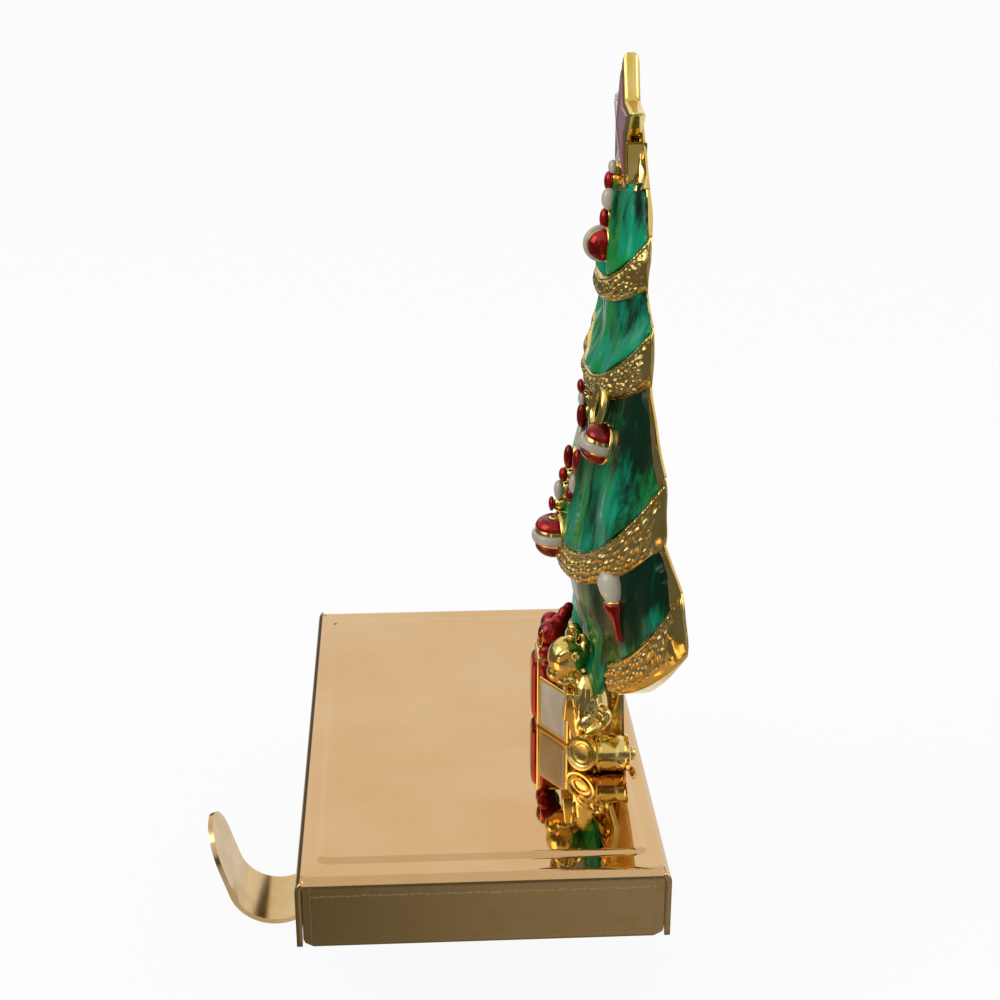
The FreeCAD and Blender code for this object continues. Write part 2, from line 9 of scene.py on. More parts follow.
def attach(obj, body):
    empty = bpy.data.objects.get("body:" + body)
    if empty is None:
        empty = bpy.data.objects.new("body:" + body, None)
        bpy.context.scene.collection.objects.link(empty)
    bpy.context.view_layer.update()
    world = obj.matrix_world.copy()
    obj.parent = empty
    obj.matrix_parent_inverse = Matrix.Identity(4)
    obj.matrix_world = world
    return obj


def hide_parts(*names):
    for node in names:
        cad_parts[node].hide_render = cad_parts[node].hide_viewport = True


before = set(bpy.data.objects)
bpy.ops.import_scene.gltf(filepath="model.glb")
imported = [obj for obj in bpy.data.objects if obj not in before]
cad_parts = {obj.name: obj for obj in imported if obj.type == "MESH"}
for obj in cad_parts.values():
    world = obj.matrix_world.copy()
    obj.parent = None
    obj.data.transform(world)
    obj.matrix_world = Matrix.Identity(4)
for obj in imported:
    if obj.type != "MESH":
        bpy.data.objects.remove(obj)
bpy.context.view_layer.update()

bl_info = {
    "name": "Mantel Stocking Holder",
    "version": (1, 0, 0),
    "blender": (4, 5, 0),
    "location": "3D View > Sidebar > Stocking Holder",
    "description": "Builds the enamelled tree on its plated base, piece by piece",
    "category": "Add Mesh",
}

# Shapes are worked out in millimetres, as in the part's source, and scaled to metres when they are finished.
mm = 0.001
up = Vector((0, 0, 1))
base_top = 16.1
flap_half = 34.7
tree_back = 35.6
back_flat_half = 30.0
back_curl_radius = 62.0
past_the_back = 60.0


class HolderSizes(bpy.types.PropertyGroup):
    """The fine sizes of the enamel, the tinsel and the base's panel"""
    fold_depth: bpy.props.FloatProperty(
        name="Fold Depth", description="How deep the folds of a green tier are",
        default=0.0010, unit="LENGTH", subtype="DISTANCE")
    enamel_sink: bpy.props.FloatProperty(
        name="Enamel Sink", description="How far the enamel lies below the gold rim at its edge",
        default=0.0006, unit="LENGTH", subtype="DISTANCE")
    rim_width: bpy.props.FloatProperty(
        name="Rim Width", description="Width of the gold rim along the tree's back edge",
        default=0.0009, unit="LENGTH", subtype="DISTANCE")
    tinsel_swell: bpy.props.FloatProperty(
        name="Tinsel Swell", description="How far a garland stands proud of the green tiers",
        default=0.0016, unit="LENGTH", subtype="DISTANCE")
    nub_spacing: bpy.props.FloatProperty(
        name="Nub Spacing", description="Distance between the nubs of a garland",
        default=0.0016, unit="LENGTH", subtype="DISTANCE")
    nub_height: bpy.props.FloatProperty(
        name="Nub Height", description="Height of the nubs of a garland",
        default=0.0007, unit="LENGTH", subtype="DISTANCE")
    panel_rise: bpy.props.FloatProperty(
        name="Panel Rise", description="Height of the embossed panel on the base",
        default=0.0007, unit="LENGTH", subtype="DISTANCE")


class HolderFinishes(bpy.types.PropertyGroup):
    """The colours of the plate and the enamels, and the strength of the light"""
    base_gold: bpy.props.FloatVectorProperty(
        name="Base Gold", description="Rosy plate of the base", subtype="COLOR", size=3,
        default=(0.68, 0.445, 0.22), min=0, max=1)
    hook_gold: bpy.props.FloatVectorProperty(
        name="Hook Gold", description="Pale plate of the hook", subtype="COLOR", size=3,
        default=(0.66, 0.47, 0.23), min=0, max=1)
    tree_gold: bpy.props.FloatVectorProperty(
        name="Tree Gold", description="Bright plate of the casting", subtype="COLOR", size=3,
        default=(0.82, 0.62, 0.22), min=0, max=1)
    green: bpy.props.FloatVectorProperty(
        name="Green Enamel", description="The green enamel where it is thin", subtype="COLOR", size=3,
        default=(0.001, 0.27, 0.14), min=0, max=1)
    red: bpy.props.FloatVectorProperty(
        name="Red Enamel", description="The red enamel where it is thin", subtype="COLOR", size=3,
        default=(0.42, 0.008, 0.003), min=0, max=1)
    white: bpy.props.FloatVectorProperty(
        name="White Enamel", description="The warm greyish white enamel", subtype="COLOR", size=3,
        default=(0.45, 0.4, 0.32), min=0, max=1)
    lilac: bpy.props.FloatVectorProperty(
        name="Lilac Enamel", description="The enamel on the star's face", subtype="COLOR", size=3,
        default=(0.34, 0.17, 0.2), min=0, max=1)
    room_light: bpy.props.FloatProperty(
        name="Room Light", description="Strength of the even light from all round",
        default=0.75, min=0)
    lamp_power: bpy.props.FloatProperty(
        name="Lamp Power", description="Power of each soft lamp in watts", default=1.6, min=0)


class Socket:
    """A node's output that takes part in plain arithmetic."""

    def __init__(self, finish, socket):
        self.finish = finish
        self.socket = socket

    def math(self, operation, *values):
        """A Math node on these values."""
        return self.finish.node("ShaderNodeMath", {"operation": operation}, dict(enumerate(values)))

    def output(self, name):
        """Another output of the same node."""
        return Socket(self.finish, self.socket.node.outputs[name])

    def __add__(self, other):
        return self.math("ADD", self, other)

    def __radd__(self, other):
        return self.math("ADD", other, self)

    def __sub__(self, other):
        return self.math("SUBTRACT", self, other)

    def __rsub__(self, other):
        return self.math("SUBTRACT", other, self)

    def __mul__(self, other):
        return self.math("MULTIPLY", self, other)

    def __rmul__(self, other):
        return self.math("MULTIPLY", other, self)

    def __abs__(self):
        return self.math("ABSOLUTE", self)


class Finish:
    """A material or world, with one way to add any node to it."""

    def __init__(self, owner):
        self.owner = owner
        owner.use_nodes = True
        self.nodes = owner.node_tree.nodes
        self.links = owner.node_tree.links
        self.nodes.clear()

    def node(self, kind, settings=None, sockets=None, output=0):
        """Adds a node: its settings first, then values or links for its sockets."""
        made = self.nodes.new(kind)
        for name, value in (settings or {}).items():
            setattr(made, name, value)
        for name, value in (sockets or {}).items():
            target = self.find(made.inputs, name)
            if isinstance(value, Socket):
                self.links.new(value.socket, target)
            else:
                target.default_value = value
        return Socket(self, self.find(made.outputs, output)) if made.outputs else made

    def find(self, sockets, name):
        """A socket by its number, its identifier or its name."""
        if isinstance(name, int):
            return sockets[name]
        for socket in sockets:
            if socket.identifier == name:
                return socket
        return sockets[name]

    def place(self, scale=(1, 1, 1)):
        """Object coordinates in millimetres, stretched by a scale."""
        coordinates = self.node("ShaderNodeTexCoord", output="Object")
        return self.node("ShaderNodeMapping", None,
                         {"Vector": coordinates, "Scale": [axis / mm for axis in scale]})

    def axes(self, place):
        """The three parts of a place or direction."""
        first = self.node("ShaderNodeSeparateXYZ", None, {"Vector": place})
        return first, first.output("Y"), first.output("Z")

    def attribute(self, name):
        """The value that a mesh carries under a name."""
        return self.node("ShaderNodeAttribute", {"attribute_name": name}, output="Fac")

    def ray(self, kind):
        """1 for a kind of ray of light, and 0 for every other."""
        return self.node("ShaderNodeLightPath", output="Is %s Ray" % kind)

    def noise(self, size, detail, roughness=0.5, scale=(1, 1, 1), distortion=0.0):
        """Cloudy noise from 0 to 1 with features of about a size in millimetres."""
        return self.node("ShaderNodeTexNoise", None, {
            "Vector": self.place(scale), "Scale": 1 / size, "Detail": detail,
            "Roughness": roughness, "Distortion": distortion})

    def mix(self, factor, first, second):
        """One colour over another."""
        first, second = [value if isinstance(value, Socket) else (*value, 1.0) for value in (first, second)]
        return self.node("ShaderNodeMix", {"data_type": "RGBA"},
                         {"Factor_Float": factor, "A_Color": first, "B_Color": second}, "Result_Color")

    def rescale(self, value, low, high):
        """An eased share from 0 at one value to 1 at another, held at its ends."""
        return self.node("ShaderNodeMapRange", {"interpolation_type": "SMOOTHSTEP"},
                         {"Value": value, "From Min": low, "From Max": high})

    def bump(self, height, distance, strength=1.0, normal=None):
        """A skin raised by a distance in millimetres where the height is 1."""
        sockets = {"Height": height, "Distance": distance * mm, "Strength": strength}
        if normal:
            sockets["Normal"] = normal
        return self.node("ShaderNodeBump", None, sockets)

    def surface(self, tint, metal, roughness, skin, coat=0.0, specular=0.5):
        """The main shader, wired to the output, with a clear coat where it has one."""
        sockets = {"Base Color": tint, "Metallic": metal, "Roughness": roughness, "Normal": skin,
                   "Specular IOR Level": specular}
        if coat:
            sockets.update({"Coat Weight": coat, "Coat Roughness": 0.03, "Coat IOR": 1.4})
        shader = self.node("ShaderNodeBsdfPrincipled", None, sockets)
        self.node("ShaderNodeOutputMaterial", None, {"Surface": shader})
        return self.owner


def new_finish(name):
    return Finish(bpy.data.materials.new(name))


def shaded(colour, shares):
    """A colour with each of its channels multiplied by a share."""
    return [channel * share for channel, share in zip(colour, shares)]


def hook_finish(name, colour):
    """The hook's plate: clouded shine, fine scratches and a faintly uneven skin."""
    finish = new_finish(name)
    clouds = finish.noise(8.0, 3.0)
    scratches = finish.noise(0.5, 2.0, 0.6, (0.12, 1.0, 1.0))
    tint = finish.mix(finish.rescale(clouds, 0.35, 0.7), colour, shaded(colour, (0.9, 0.82, 0.7)))
    roughness = 0.08 + 0.1 * clouds + 0.08 * scratches
    return finish.surface(tint, 1.0, roughness, finish.bump(scratches, 0.0064, 0.4))


def cover_finish(name, colour):
    """The base's plate: mirror bright on top, brushed on the end flaps with an olive grain and a flat
    painted shade, and a wavy bead line under the fold painted as a pale highlight.
    """
    finish = new_finish(name)
    x, y, z = finish.axes(finish.place())
    flap = finish.rescale(abs(x), 63.2, 63.46)
    clouds = finish.noise(22.0, 3.0)
    patches = finish.noise(7.0, 3.0, 0.6, (1, 0.7, 1))
    brushed = finish.noise(0.45, 3.0, 0.65, (1, 1, 0.05))
    pitting = finish.noise(0.5, 3.0, 0.7)
    drift = finish.noise(3.2, 4.0, 0.65, (1, 1, 0.01))
    inner = finish.rescale(abs(y), 35.0, flap_half)
    # A wavy bead line under the fold, painted as a pale highlight in dashes, and rougher.
    bead_highlight_line = finish.rescale(abs(z - 11.4 - 1.1 * drift), 0.28, 0.06) * flap * inner
    dashes = finish.rescale(pitting, 0.45, 0.6)
    above = finish.rescale(z, 12.1, 12.4)
    frame_line = finish.rescale(abs(abs(y) - 34.9), 0.22, 0.04) * flap
    foot_line = finish.rescale(abs(z - 2.0), 0.22, 0.04) * flap
    stain = finish.rescale(patches, 0.5, 0.72) * flap * (1 - above)
    olive_stain_and_shade = shaded(colour, (0.75, 0.75, 0.45))
    tint = finish.mix(finish.rescale(clouds, 0.3, 0.75), colour, shaded(colour, (0.96, 0.9, 0.8)))
    # Olive on the end flaps: the brushed grain, and a flat painted shade over the whole end face.
    tint = finish.mix(flap * (0.15 + 0.45 * brushed), tint, olive_stain_and_shade)
    tint = finish.mix(0.4 * stain, tint, olive_stain_and_shade)
    # Painted highlight: the bead line is tinted pale and bright.
    tint = finish.mix(bead_highlight_line * dashes, tint, (0.95, 0.75, 0.45))
    roughness = 0.025 + 0.02 * clouds + flap * (0.1 + 0.2 * brushed + 0.1 * patches) + 0.25 * bead_highlight_line
    grooves = 1 - 0.8 * frame_line - 0.8 * foot_line
    skin = finish.bump(grooves, 0.1, 0.6)
    skin = finish.bump(brushed * flap, 0.03, 0.5, skin)
    skin = finish.bump(finish.noise(9.0, 2.0), 0.05, 0.25, skin)
    return finish.surface(tint, 1.0, roughness, skin)


def casting_finish(name, colour):
    """Bright cast plate, browner where it pools, and darkened with painted shade, and rougher, where the
    mesh marks its pits.
    """
    finish = new_finish(name)
    pit_shade_and_frost = finish.attribute("pit_shade_and_frost")
    clouds = finish.noise(6.0, 3.0)
    ripple = finish.noise(1.6, 2.0, 0.5)
    tint = finish.mix(finish.rescale(clouds, 0.35, 0.65), colour, shaded(colour, (0.9, 0.84, 0.6)))
    # Painted shade: the pits between the nubs and the nostril are darkened towards brown.
    tint = finish.mix(pit_shade_and_frost, tint, (0.42, 0.31, 0.13))
    return finish.surface(tint, 1.0, 0.08 + 0.14 * clouds + 0.45 * pit_shade_and_frost, finish.bump(ripple, 0.06, 0.5))


def enamel_finish(name, thin, thick, streak, metal=0.0, coat=1.0):
    """Glossy enamel, deeper in colour where it is thick, in streaks that run down the piece."""
    finish = new_finish(name)
    streaks = finish.noise(streak, 3.0, 0.55, (1, 1, 0.3), 0.6)
    tint = finish.mix(finish.rescale(streaks, 0.3, 0.7), thick, thin)
    skin = finish.bump(finish.noise(2.4, 1.0), 0.05, 0.35)
    return finish.surface(tint, metal, 0.14 + 0.1 * streaks, skin, coat, 0.3)


def green_finish(name, thin):
    """The tiers' enamel: nearly black where it pools and in its painted shade, teal and leaf green where the
    metal shines through and in its painted light.
    """
    finish = new_finish(name)
    thinness_and_painted_light = finish.attribute("thinness_and_painted_light")
    streaks = finish.noise(2.0, 3.0, 0.6, (1, 1, 0.2), 0.7)
    flecks = finish.noise(0.9, 2.0, 0.6)
    hue = finish.noise(7.0, 2.0, 0.5, (1, 1, 0.5), 0.5)
    leaf = (thin[0] + 0.003, thin[1] * 0.85, thin[2] * 0.3)
    clear = finish.mix(finish.rescale(hue, 0.42, 0.58), leaf, thin)
    # The share mixes the enamel's real thickness with the painted light and shade kept on the mesh, broken
    # by streaks and flecks.
    share = finish.rescale(thinness_and_painted_light + 1.3 * (streaks - 0.5) + 0.25 * (flecks - 0.5), 0.1, 0.95)
    tint = finish.mix(share, (0.0006, 0.018, 0.006), clear)
    skin = finish.bump(finish.noise(1.8, 2.0, 0.5, (1, 1, 0.4)), 0.09, 0.5)
    return finish.surface(tint, 0.12, 0.25 + 0.12 * streaks, skin, 0.28, 0.1)


def finish_named(name):
    """A finish by the name of the record's slot, made when it is first asked for."""
    if name in bpy.data.materials:
        return bpy.data.materials[name]
    colours = bpy.context.scene.holder_finishes
    makers = {
        "plate_base": lambda: cover_finish(name, colours.base_gold),
        "plate_hook": lambda: hook_finish(name, colours.hook_gold),
        "cast_gold": lambda: casting_finish(name, colours.tree_gold),
        "enamel_green": lambda: green_finish(name, colours.green),
        "enamel_red": lambda: enamel_finish(name, colours.red, (0.1, 0.001, 0.001), 3.0, 0.5, 0.35),
        "enamel_white": lambda: enamel_finish(name, colours.white, (0.38, 0.33, 0.25), 4.0, 0.0, 0.8),
        "enamel_lilac": lambda: enamel_finish(name, colours.lilac, (0.2, 0.07, 0.09), 5.0),
        "cast_iron": lambda: dull_finish(name, (0.06, 0.06, 0.065), 0.6, 0.7, 0.05),
        "black_rubber": lambda: dull_finish(name, (0.012, 0.012, 0.012), 0.0, 0.75, 0.04),
        "zinc_steel": lambda: dull_finish(name, (0.55, 0.55, 0.53), 1.0, 0.3, 0.01),
    }
    return makers[name]()


def dull_finish(name, colour, metal, roughness, grain):
    """A plain hidden material with a fine grain."""
    finish = new_finish(name)
    speckle = finish.noise(0.6, 3.0)
    tint = finish.mix(speckle, colour, shaded(colour, (1.5, 1.5, 1.5)))
    return finish.surface(tint, metal, roughness - 0.15 * speckle, finish.bump(speckle, grain))


def finished(name, bm, material, replaced=(), crease=None):
    """Puts a mesh worked in millimetres into the scene in metres, riding on the fixed body."""
    bmesh.ops.scale(bm, vec=(mm, mm, mm), verts=bm.verts)
    mesh = bpy.data.meshes.new(name)
    for face in bm.faces:
        face.smooth = True
    bm.to_mesh(mesh)
    bm.free()
    if crease:
        mesh.set_sharp_from_angle(angle=math.radians(crease))
    piece = bpy.data.objects.new(name, mesh)
    bpy.context.collection.objects.link(piece)
    mesh.materials.append(finish_named(material))
    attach(piece, "root")
    if replaced:
        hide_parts(*replaced)
    return piece


def cast(name, bm, crease=None):
    """Finishes a piece that stands for a part of the gold casting."""
    finished(name, bm, "cast_gold", ("tree_casting",), crease)


def merge(target, part):
    """Adds one mesh to another as it is."""
    mesh = bpy.data.meshes.new("part")
    part.to_mesh(mesh)
    part.free()
    target.from_mesh(mesh)
    bpy.data.meshes.remove(mesh)


def join(target, part, place=Matrix()):
    """Adds a closed part to a piece, at its place, with its faces pointing outwards."""
    bmesh.ops.remove_doubles(part, verts=part.verts, dist=0.001)
    bmesh.ops.transform(part, matrix=place, verts=part.verts)
    bmesh.ops.recalc_face_normals(part, faces=part.faces)
    merge(target, part)


def held(value):
    """A value held between 0 and 1."""
    return min(1.0, max(0.0, value))


def smoothstep(value, low, high):
    """An eased share from 0 at one value to 1 at another."""
    share = held((value - low) / (high - low))
    return share * share * (3 - 2 * share)


def wander(first, second, third):
    """Smooth noise about 0 at a place of its own space."""
    return noise.noise(Vector((first, second, third)))


def back_at(x):
    """Where the tree's back lies, at a distance from the middle."""
    beyond = max(0.0, abs(x) - back_flat_half)
    return tree_back + back_curl_radius - math.sqrt(back_curl_radius ** 2 - beyond ** 2)


def back_edge(spot):
    """The back at a place of the casting, a little wavy as the real one is."""
    bulge = 0.8 * math.exp(-((spot.z - 140) / 7) ** 2) - 0.5 * math.exp(-((spot.z - 86) / 8) ** 2)
    return back_at(spot.x) + bulge + 0.3 * wander(spot.x * 0.02, 0.0, spot.z * 0.17)


def in_front(spot, margin):
    """A place of the casting, brought forward where it isn't a margin in front of the back."""
    spot.y = min(spot.y, back_edge(spot) - margin)
    return spot


class Curve:
    """The bowed front edge of a tier, from side tip to side tip, as in the part's source."""

    def __init__(self, half_width, tip_height, reach, front_height):
        self.values = (half_width, tip_height, reach, front_height)
        tip = Vector((0, back_at(half_width), base_top + tip_height))
        front = Vector((0, tree_back - reach, base_top + front_height))
        sagitta = (front - tip).length
        self.forward = (front - tip).normalized()
        self.radius = (half_width ** 2 + sagitta ** 2) / (2 * sagitta)
        self.centre = front - self.forward * self.radius
        self.half_angle = math.atan2(half_width, self.radius - sagitta)

    def narrowed(self, amount, lift):
        """The same curve drawn in by an amount and lifted."""
        half_width, tip_height, reach, front_height = self.values
        return Curve(half_width - amount, tip_height + lift, reach - amount, front_height + lift)

    def point(self, across):
        """The point at a share of the way from the middle to a tip."""
        angle = across * self.half_angle
        sideways = Vector((math.sin(angle) * self.radius, 0, 0))
        return self.centre + sideways + self.forward * (math.cos(angle) * self.radius)


class Tier:
    """The ruled surface between two curves."""

    def __init__(self, neck, hem):
        self.neck = neck
        self.hem = hem

    def point(self, across, down):
        """The point at a share across, from -1 to 1, and down, from 0 at the neck to 1 at the hem."""
        return self.neck.point(across).lerp(self.hem.point(across), down)

    def outward(self, across, down):
        """The direction out of the surface."""
        step = 0.01
        side = self.point(across + step, down) - self.point(across - step, down)
        rise = self.point(across, down - step) - self.point(across, down + step)
        return side.cross(rise).normalized()

    def raised(self, across, down, height):
        """The point at a height over the surface."""
        return self.point(across, down) + self.outward(across, down) * height

    def edge(self, down, rim):
        """The share across at which the surface lies a rim's width in front of the back."""
        low, high = 0.3, 1.0
        for _ in range(18):
            middle = (low + high) / 2
            place = self.point(middle, down)
            if back_edge(place) - place.y > rim:
                low = middle
            else:
                high = middle
        return low

    def locate(self, x, z):
        """The shares across and down of the place with a given X and Z."""
        across, down = x / self.hem.values[0], 0.5
        for _ in range(20):
            spot = self.point(across, down)
            across += (x - spot.x) / self.hem.values[0]
            fall = self.neck.point(across).z - self.hem.point(across).z
            down = min(1.2, max(-0.2, down + (spot.z - z) / fall))
        return across, down

    def outward_at(self, x, z):
        """The direction out of the surface at the place with a given X and Z."""
        return self.outward(*self.locate(x, z))


peak = Curve(5.0, 141.0, 3.8, 138.0)
crown = Curve(13.0, 129.0, 5.0, 126.5)
garlands = [
    Tier(Curve(19.5, 119.5, 7.6, 107.2), Curve(20.0, 108.6, 7.4, 102.0)),
    Tier(Curve(29.5, 103.6, 9.6, 86.6), Curve(30.0, 91.4, 9.2, 81.5)),
    Tier(Curve(44.0, 77.4, 14.7, 47.0), Curve(45.5, 63.6, 15.1, 40.5)),
    Tier(Curve(52.0, 56.0, 9.3, 22.0), Curve(55.0, 43.6, 8.7, 15.5)),
]
lip = Curve(54.0, 43.0, 6.2, 15.4)
necks = [crown] + [garland.hem.narrowed(1.2, 0.5) for garland in garlands[:-1]]
tiers = [Tier(neck, garland.neck) for neck, garland in zip(necks, garlands)]


def sheet(columns, rows, place, attribute=None):
    """A grid moved to the places that a function gives, with the attribute's value where it has one."""
    bm = bmesh.new()
    bmesh.ops.create_grid(bm, x_segments=columns, y_segments=rows, size=1)
    layer = bm.verts.layers.float.new(attribute) if attribute else None
    for vert in bm.verts:
        made = place(vert.co.x, (1 - vert.co.y) / 2)
        if attribute:
            vert.co, vert[layer] = made
        else:
            vert.co = made
    return bm


def extruded(bm):
    """Extrudes every face of a sheet and gives the new corners and the new faces."""
    made = bmesh.ops.extrude_face_region(bm, geom=bm.faces[:], use_keep_orig=True)["geom"]
    kinds = (bmesh.types.BMVert, bmesh.types.BMFace)
    return [[item for item in made if isinstance(item, kind)] for kind in kinds]


def thickened(bm, amount, cover=0.0):
    """Closes an open sheet by giving it a thickness behind it, with the casting's cover left at the back."""
    for vert in extruded(bm)[0]:
        vert.co.y = min(vert.co.y + amount, back_edge(vert.co) - cover)
    bmesh.ops.recalc_face_normals(bm, faces=bm.faces)
    return bm


def rounded(bm, radius, segments):
    """Rounds every edge of a body."""
    bmesh.ops.bevel(bm, geom=bm.edges[:], offset=radius, affect="EDGES", segments=segments,
                    profile=0.5, material=-1)


def ball(radii, segments=24):
    """A ball stretched to three radii."""
    bm = bmesh.new()
    bmesh.ops.create_uvsphere(bm, u_segments=segments, v_segments=segments * 2 // 3, radius=1)
    bmesh.ops.scale(bm, vec=radii, verts=bm.verts)
    return bm


def spun(profile, steps=32):
    """A round body about Z from pairs of radius and height."""
    bm = bmesh.new()
    verts = [bm.verts.new((radius, 0, height)) for radius, height in profile]
    edges = [bm.edges.new(pair) for pair in zip(verts, verts[1:])]
    bmesh.ops.spin(bm, geom=verts + edges, cent=(0, 0, 0), axis=(0, 0, 1), angle=2 * math.pi,
                   steps=steps, use_merge=True)
    return bm


def aimed(start, direction):
    """A place at a point, with the local Z turned to a direction."""
    return Matrix.Translation(start) @ up.rotation_difference(direction).to_matrix().to_4x4()


def turned(degrees, axis):
    """A turn about one of the local axes."""
    return Matrix.Rotation(math.radians(degrees), 4, axis)


def facing(spot, outward, upward):
    """A place at a spot whose -Y looks outward and whose Z leans towards a direction."""
    outward = outward.normalized()
    upward = (upward - outward * upward.dot(outward)).normalized()
    place = Matrix((upward.cross(outward), -outward, upward)).transposed().to_4x4()
    place.translation = spot
    return place


def ring(radius, thickness):
    """A round wire ring in the XZ plane."""
    bm = bmesh.new()
    bmesh.ops.create_circle(bm, segments=12, radius=thickness)
    bmesh.ops.translate(bm, vec=(radius, 0, 0), verts=bm.verts)
    bmesh.ops.spin(bm, geom=bm.verts[:] + bm.edges[:], cent=(0, 0, 0), axis=(0, 1, 0), angle=2 * math.pi,
                   steps=32, use_merge=True)
    return bm


class HOLDER_OT_plate(bpy.types.Operator):
    """Gives the hook, the pad, the slab and the screws their finishes"""
    bl_idname = "holder.plate"
    bl_label = "Plate the Hook and Hidden Parts"

    def execute(self, context):
        finishes = {
            "hook": "plate_hook", "base_pad": "black_rubber",
            "base_weight": "cast_iron", "hook_screw": "zinc_steel", "tree_screws": "zinc_steel",
        }
        for node, material in finishes.items():
            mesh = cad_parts[node].data
            mesh.materials.clear()
            mesh.materials.append(finish_named(material))
        return {"FINISHED"}


def stops(*spans):
    """Places along a line from the middle outwards, mirrored, from spans of a start, an end and a count."""
    half = [spans[0][0]]
    for start, end, count in spans:
        half += [start + (end - start) * (step + 1) / count for step in range(count)]
    return [-value for value in reversed(half[1:])] + half


class HOLDER_OT_cover(bpy.types.Operator):
    """Folds the base's cover: an embossed top, two long walls and two end flaps between them"""
    bl_idname = "holder.cover"
    bl_label = "Fold the Base Cover"

    def execute(self, context):
        rise = context.scene.holder_sizes.panel_rise / mm
        half_length, half_depth, top, foot, bend = 63.5, 38.1, 15.4, 0.2, 2.4
        thickness, foot_corner = 1.2, 2.0
        panel_length, panel_depth, panel_corner, panel_slope = 54.4, 31.5, 2.8, 1.7
        sheet_end, sheet_side = half_length - bend, half_depth - bend
        quarter = bend * math.pi / 2
        slit = sheet_end + 0.05
        flat = ((0, 54, 9), (54, 58.5, 14), (58.5, sheet_end, 4), (sheet_end, slit, 1))
        along = stops(*flat, (slit, sheet_end + quarter, 10),
                      (sheet_end + quarter, sheet_end + quarter + top - bend - foot, 14))
        over = stops((0, 31, 8), (31, sheet_side, 14))
        wall = stops(*flat, (slit, half_length, 3))

        def embossed(x, y):
            """How far the panel stands up, from its rounded outline inwards."""
            across, down = abs(x) - panel_length, abs(y) - panel_depth
            outside = math.hypot(max(0, across), max(0, down)) + min(0, max(across, down)) - panel_corner
            return rise * smoothstep(-outside, 0.0, panel_slope)

        def folded(beyond):
            """How far out and how far down the sheet is, at a developed length past the fold's start."""
            angle = min(beyond, quarter) / bend
            return bend * math.sin(angle), bend * (1 - math.cos(angle)) + max(0.0, beyond - quarter)

        def top_place(across, down):
            """A place of the top and the end flaps, which are narrower and have rounded lower corners."""
            u = along[round((across + 1) / 2 * (len(along) - 1))]
            y = over[round((1 - down) * (len(over) - 1))]
            beyond = abs(u) - sheet_end
            if beyond <= 0:
                return Vector((u, y, top + embossed(u, y)))
            out, fall = folded(beyond)
            left = max(0.0, foot_corner - (top - fall - foot))
            half = flap_half + math.sqrt(max(0.0, foot_corner ** 2 - left ** 2))
            half = sheet_side if beyond < 0.01 else half
            return Vector((math.copysign(sheet_end + out, u), y * half / sheet_side, top - fall))

        bm = sheet(len(along) - 1, len(over) - 1, top_place)
        for sign in (1, -1):
            def wall_place(across, down):
                """A place of a long wall, whose ends start below the fold."""
                x = -sign * wall[round((across + 1) / 2 * (len(wall) - 1))]
                start = 0.0 if abs(x) < sheet_end + 0.01 else bend * math.radians(30)
                beyond = max(start, quarter * min(1, down * 2) + (top - bend - foot) * max(0, down * 2 - 1))
                out, fall = folded(beyond)
                return Vector((x, sign * (sheet_side + out), top - fall))

            merge(bm, sheet(len(wall) - 1, 16, wall_place))
        bmesh.ops.remove_doubles(bm, verts=bm.verts, dist=0.001)
        cover = finished("cover", bm, "plate_base", ("base_cover",))
        skin = cover.modifiers.new("Sheet", "SOLIDIFY")
        skin.thickness = thickness * mm
        skin.offset = -1
        return {"FINISHED"}


def body_levels():
    """The surfaces that follow each other down the casting, with their rows, their kind and their number."""
    levels = [(Tier(peak, crown), 14, "crown", 0)]
    for index, (tier, garland) in enumerate(zip(tiers, garlands)):
        levels.append((tier, 24, "tier", index))
        levels.append((garland, 10, "garland", index))
    levels.append((Tier(garlands[-1].hem, lip), 4, "lip", 0))
    return levels


class HOLDER_OT_body(bpy.types.Operator):
    """Casts the gold body behind the enamel, with its flat back that curls back at the sides"""
    bl_idname = "holder.body"
    bl_label = "Cast the Tree's Body"

    def execute(self, context):
        sizes = context.scene.holder_sizes
        rim = sizes.rim_width / mm
        sink = sizes.enamel_sink / mm
        bm = bmesh.new()
        for surface, rows, kind, index in body_levels():
            edges = [surface.edge(row / rows, rim) for row in range(rows + 1)]

            def place(across, down):
                edge = edges[round(down * rows)]
                down *= {"crown": 1.11, "lip": 0.6}.get(kind, 1.0)
                wave = 0.25 * noise.noise(surface.point(across, down) * 0.25)
                if kind == "tier":
                    height = -sink - 0.3 + (sink + 0.5) * smoothstep(abs(across), edge - 0.03, edge + 0.01)
                    height -= waist(index, down) + (1.3 if index == 1 else 0.0)
                elif kind == "crown":
                    frame_line = max(smoothstep(abs(across), 0.8, 0.86), smoothstep(down, 0.98, 1.02))
                    height = 0.9 * frame_line - 0.6 + 0.5 * noise.noise(surface.point(across, down) * 0.7)
                elif kind == "lip":
                    height = -0.8
                else:
                    height = -0.2
                return in_front(surface.raised(across, down, height + wave), 0.5 * rim)

            join(bm, thickened(sheet(110, rows, place), past_the_back))
        cast("casting_body", bm, 50)
        return {"FINISHED"}


def waist(index, down):
    """How far the second tier is drawn in between its neck and its hem."""
    return 1.2 * math.sin(math.pi * down) ** 2 if index == 1 else 0.0


def fold_height(across, down, seed, depth):
    """The height of a tier's folds, which fan out and deepen towards its hem."""
    spread = 4.6 * across * (0.92 + 0.08 * down)
    sway = 0.5 * wander(across * 1.7, down * 1.9, seed)
    wave = wander(spread + sway, down * 0.8, seed + 7.3)
    ripple = wander(spread * 2.3, down * 1.6, seed + 3.1)
    return depth * (0.35 + 0.65 * down) * (1.7 * wave + 0.5 * ripple)


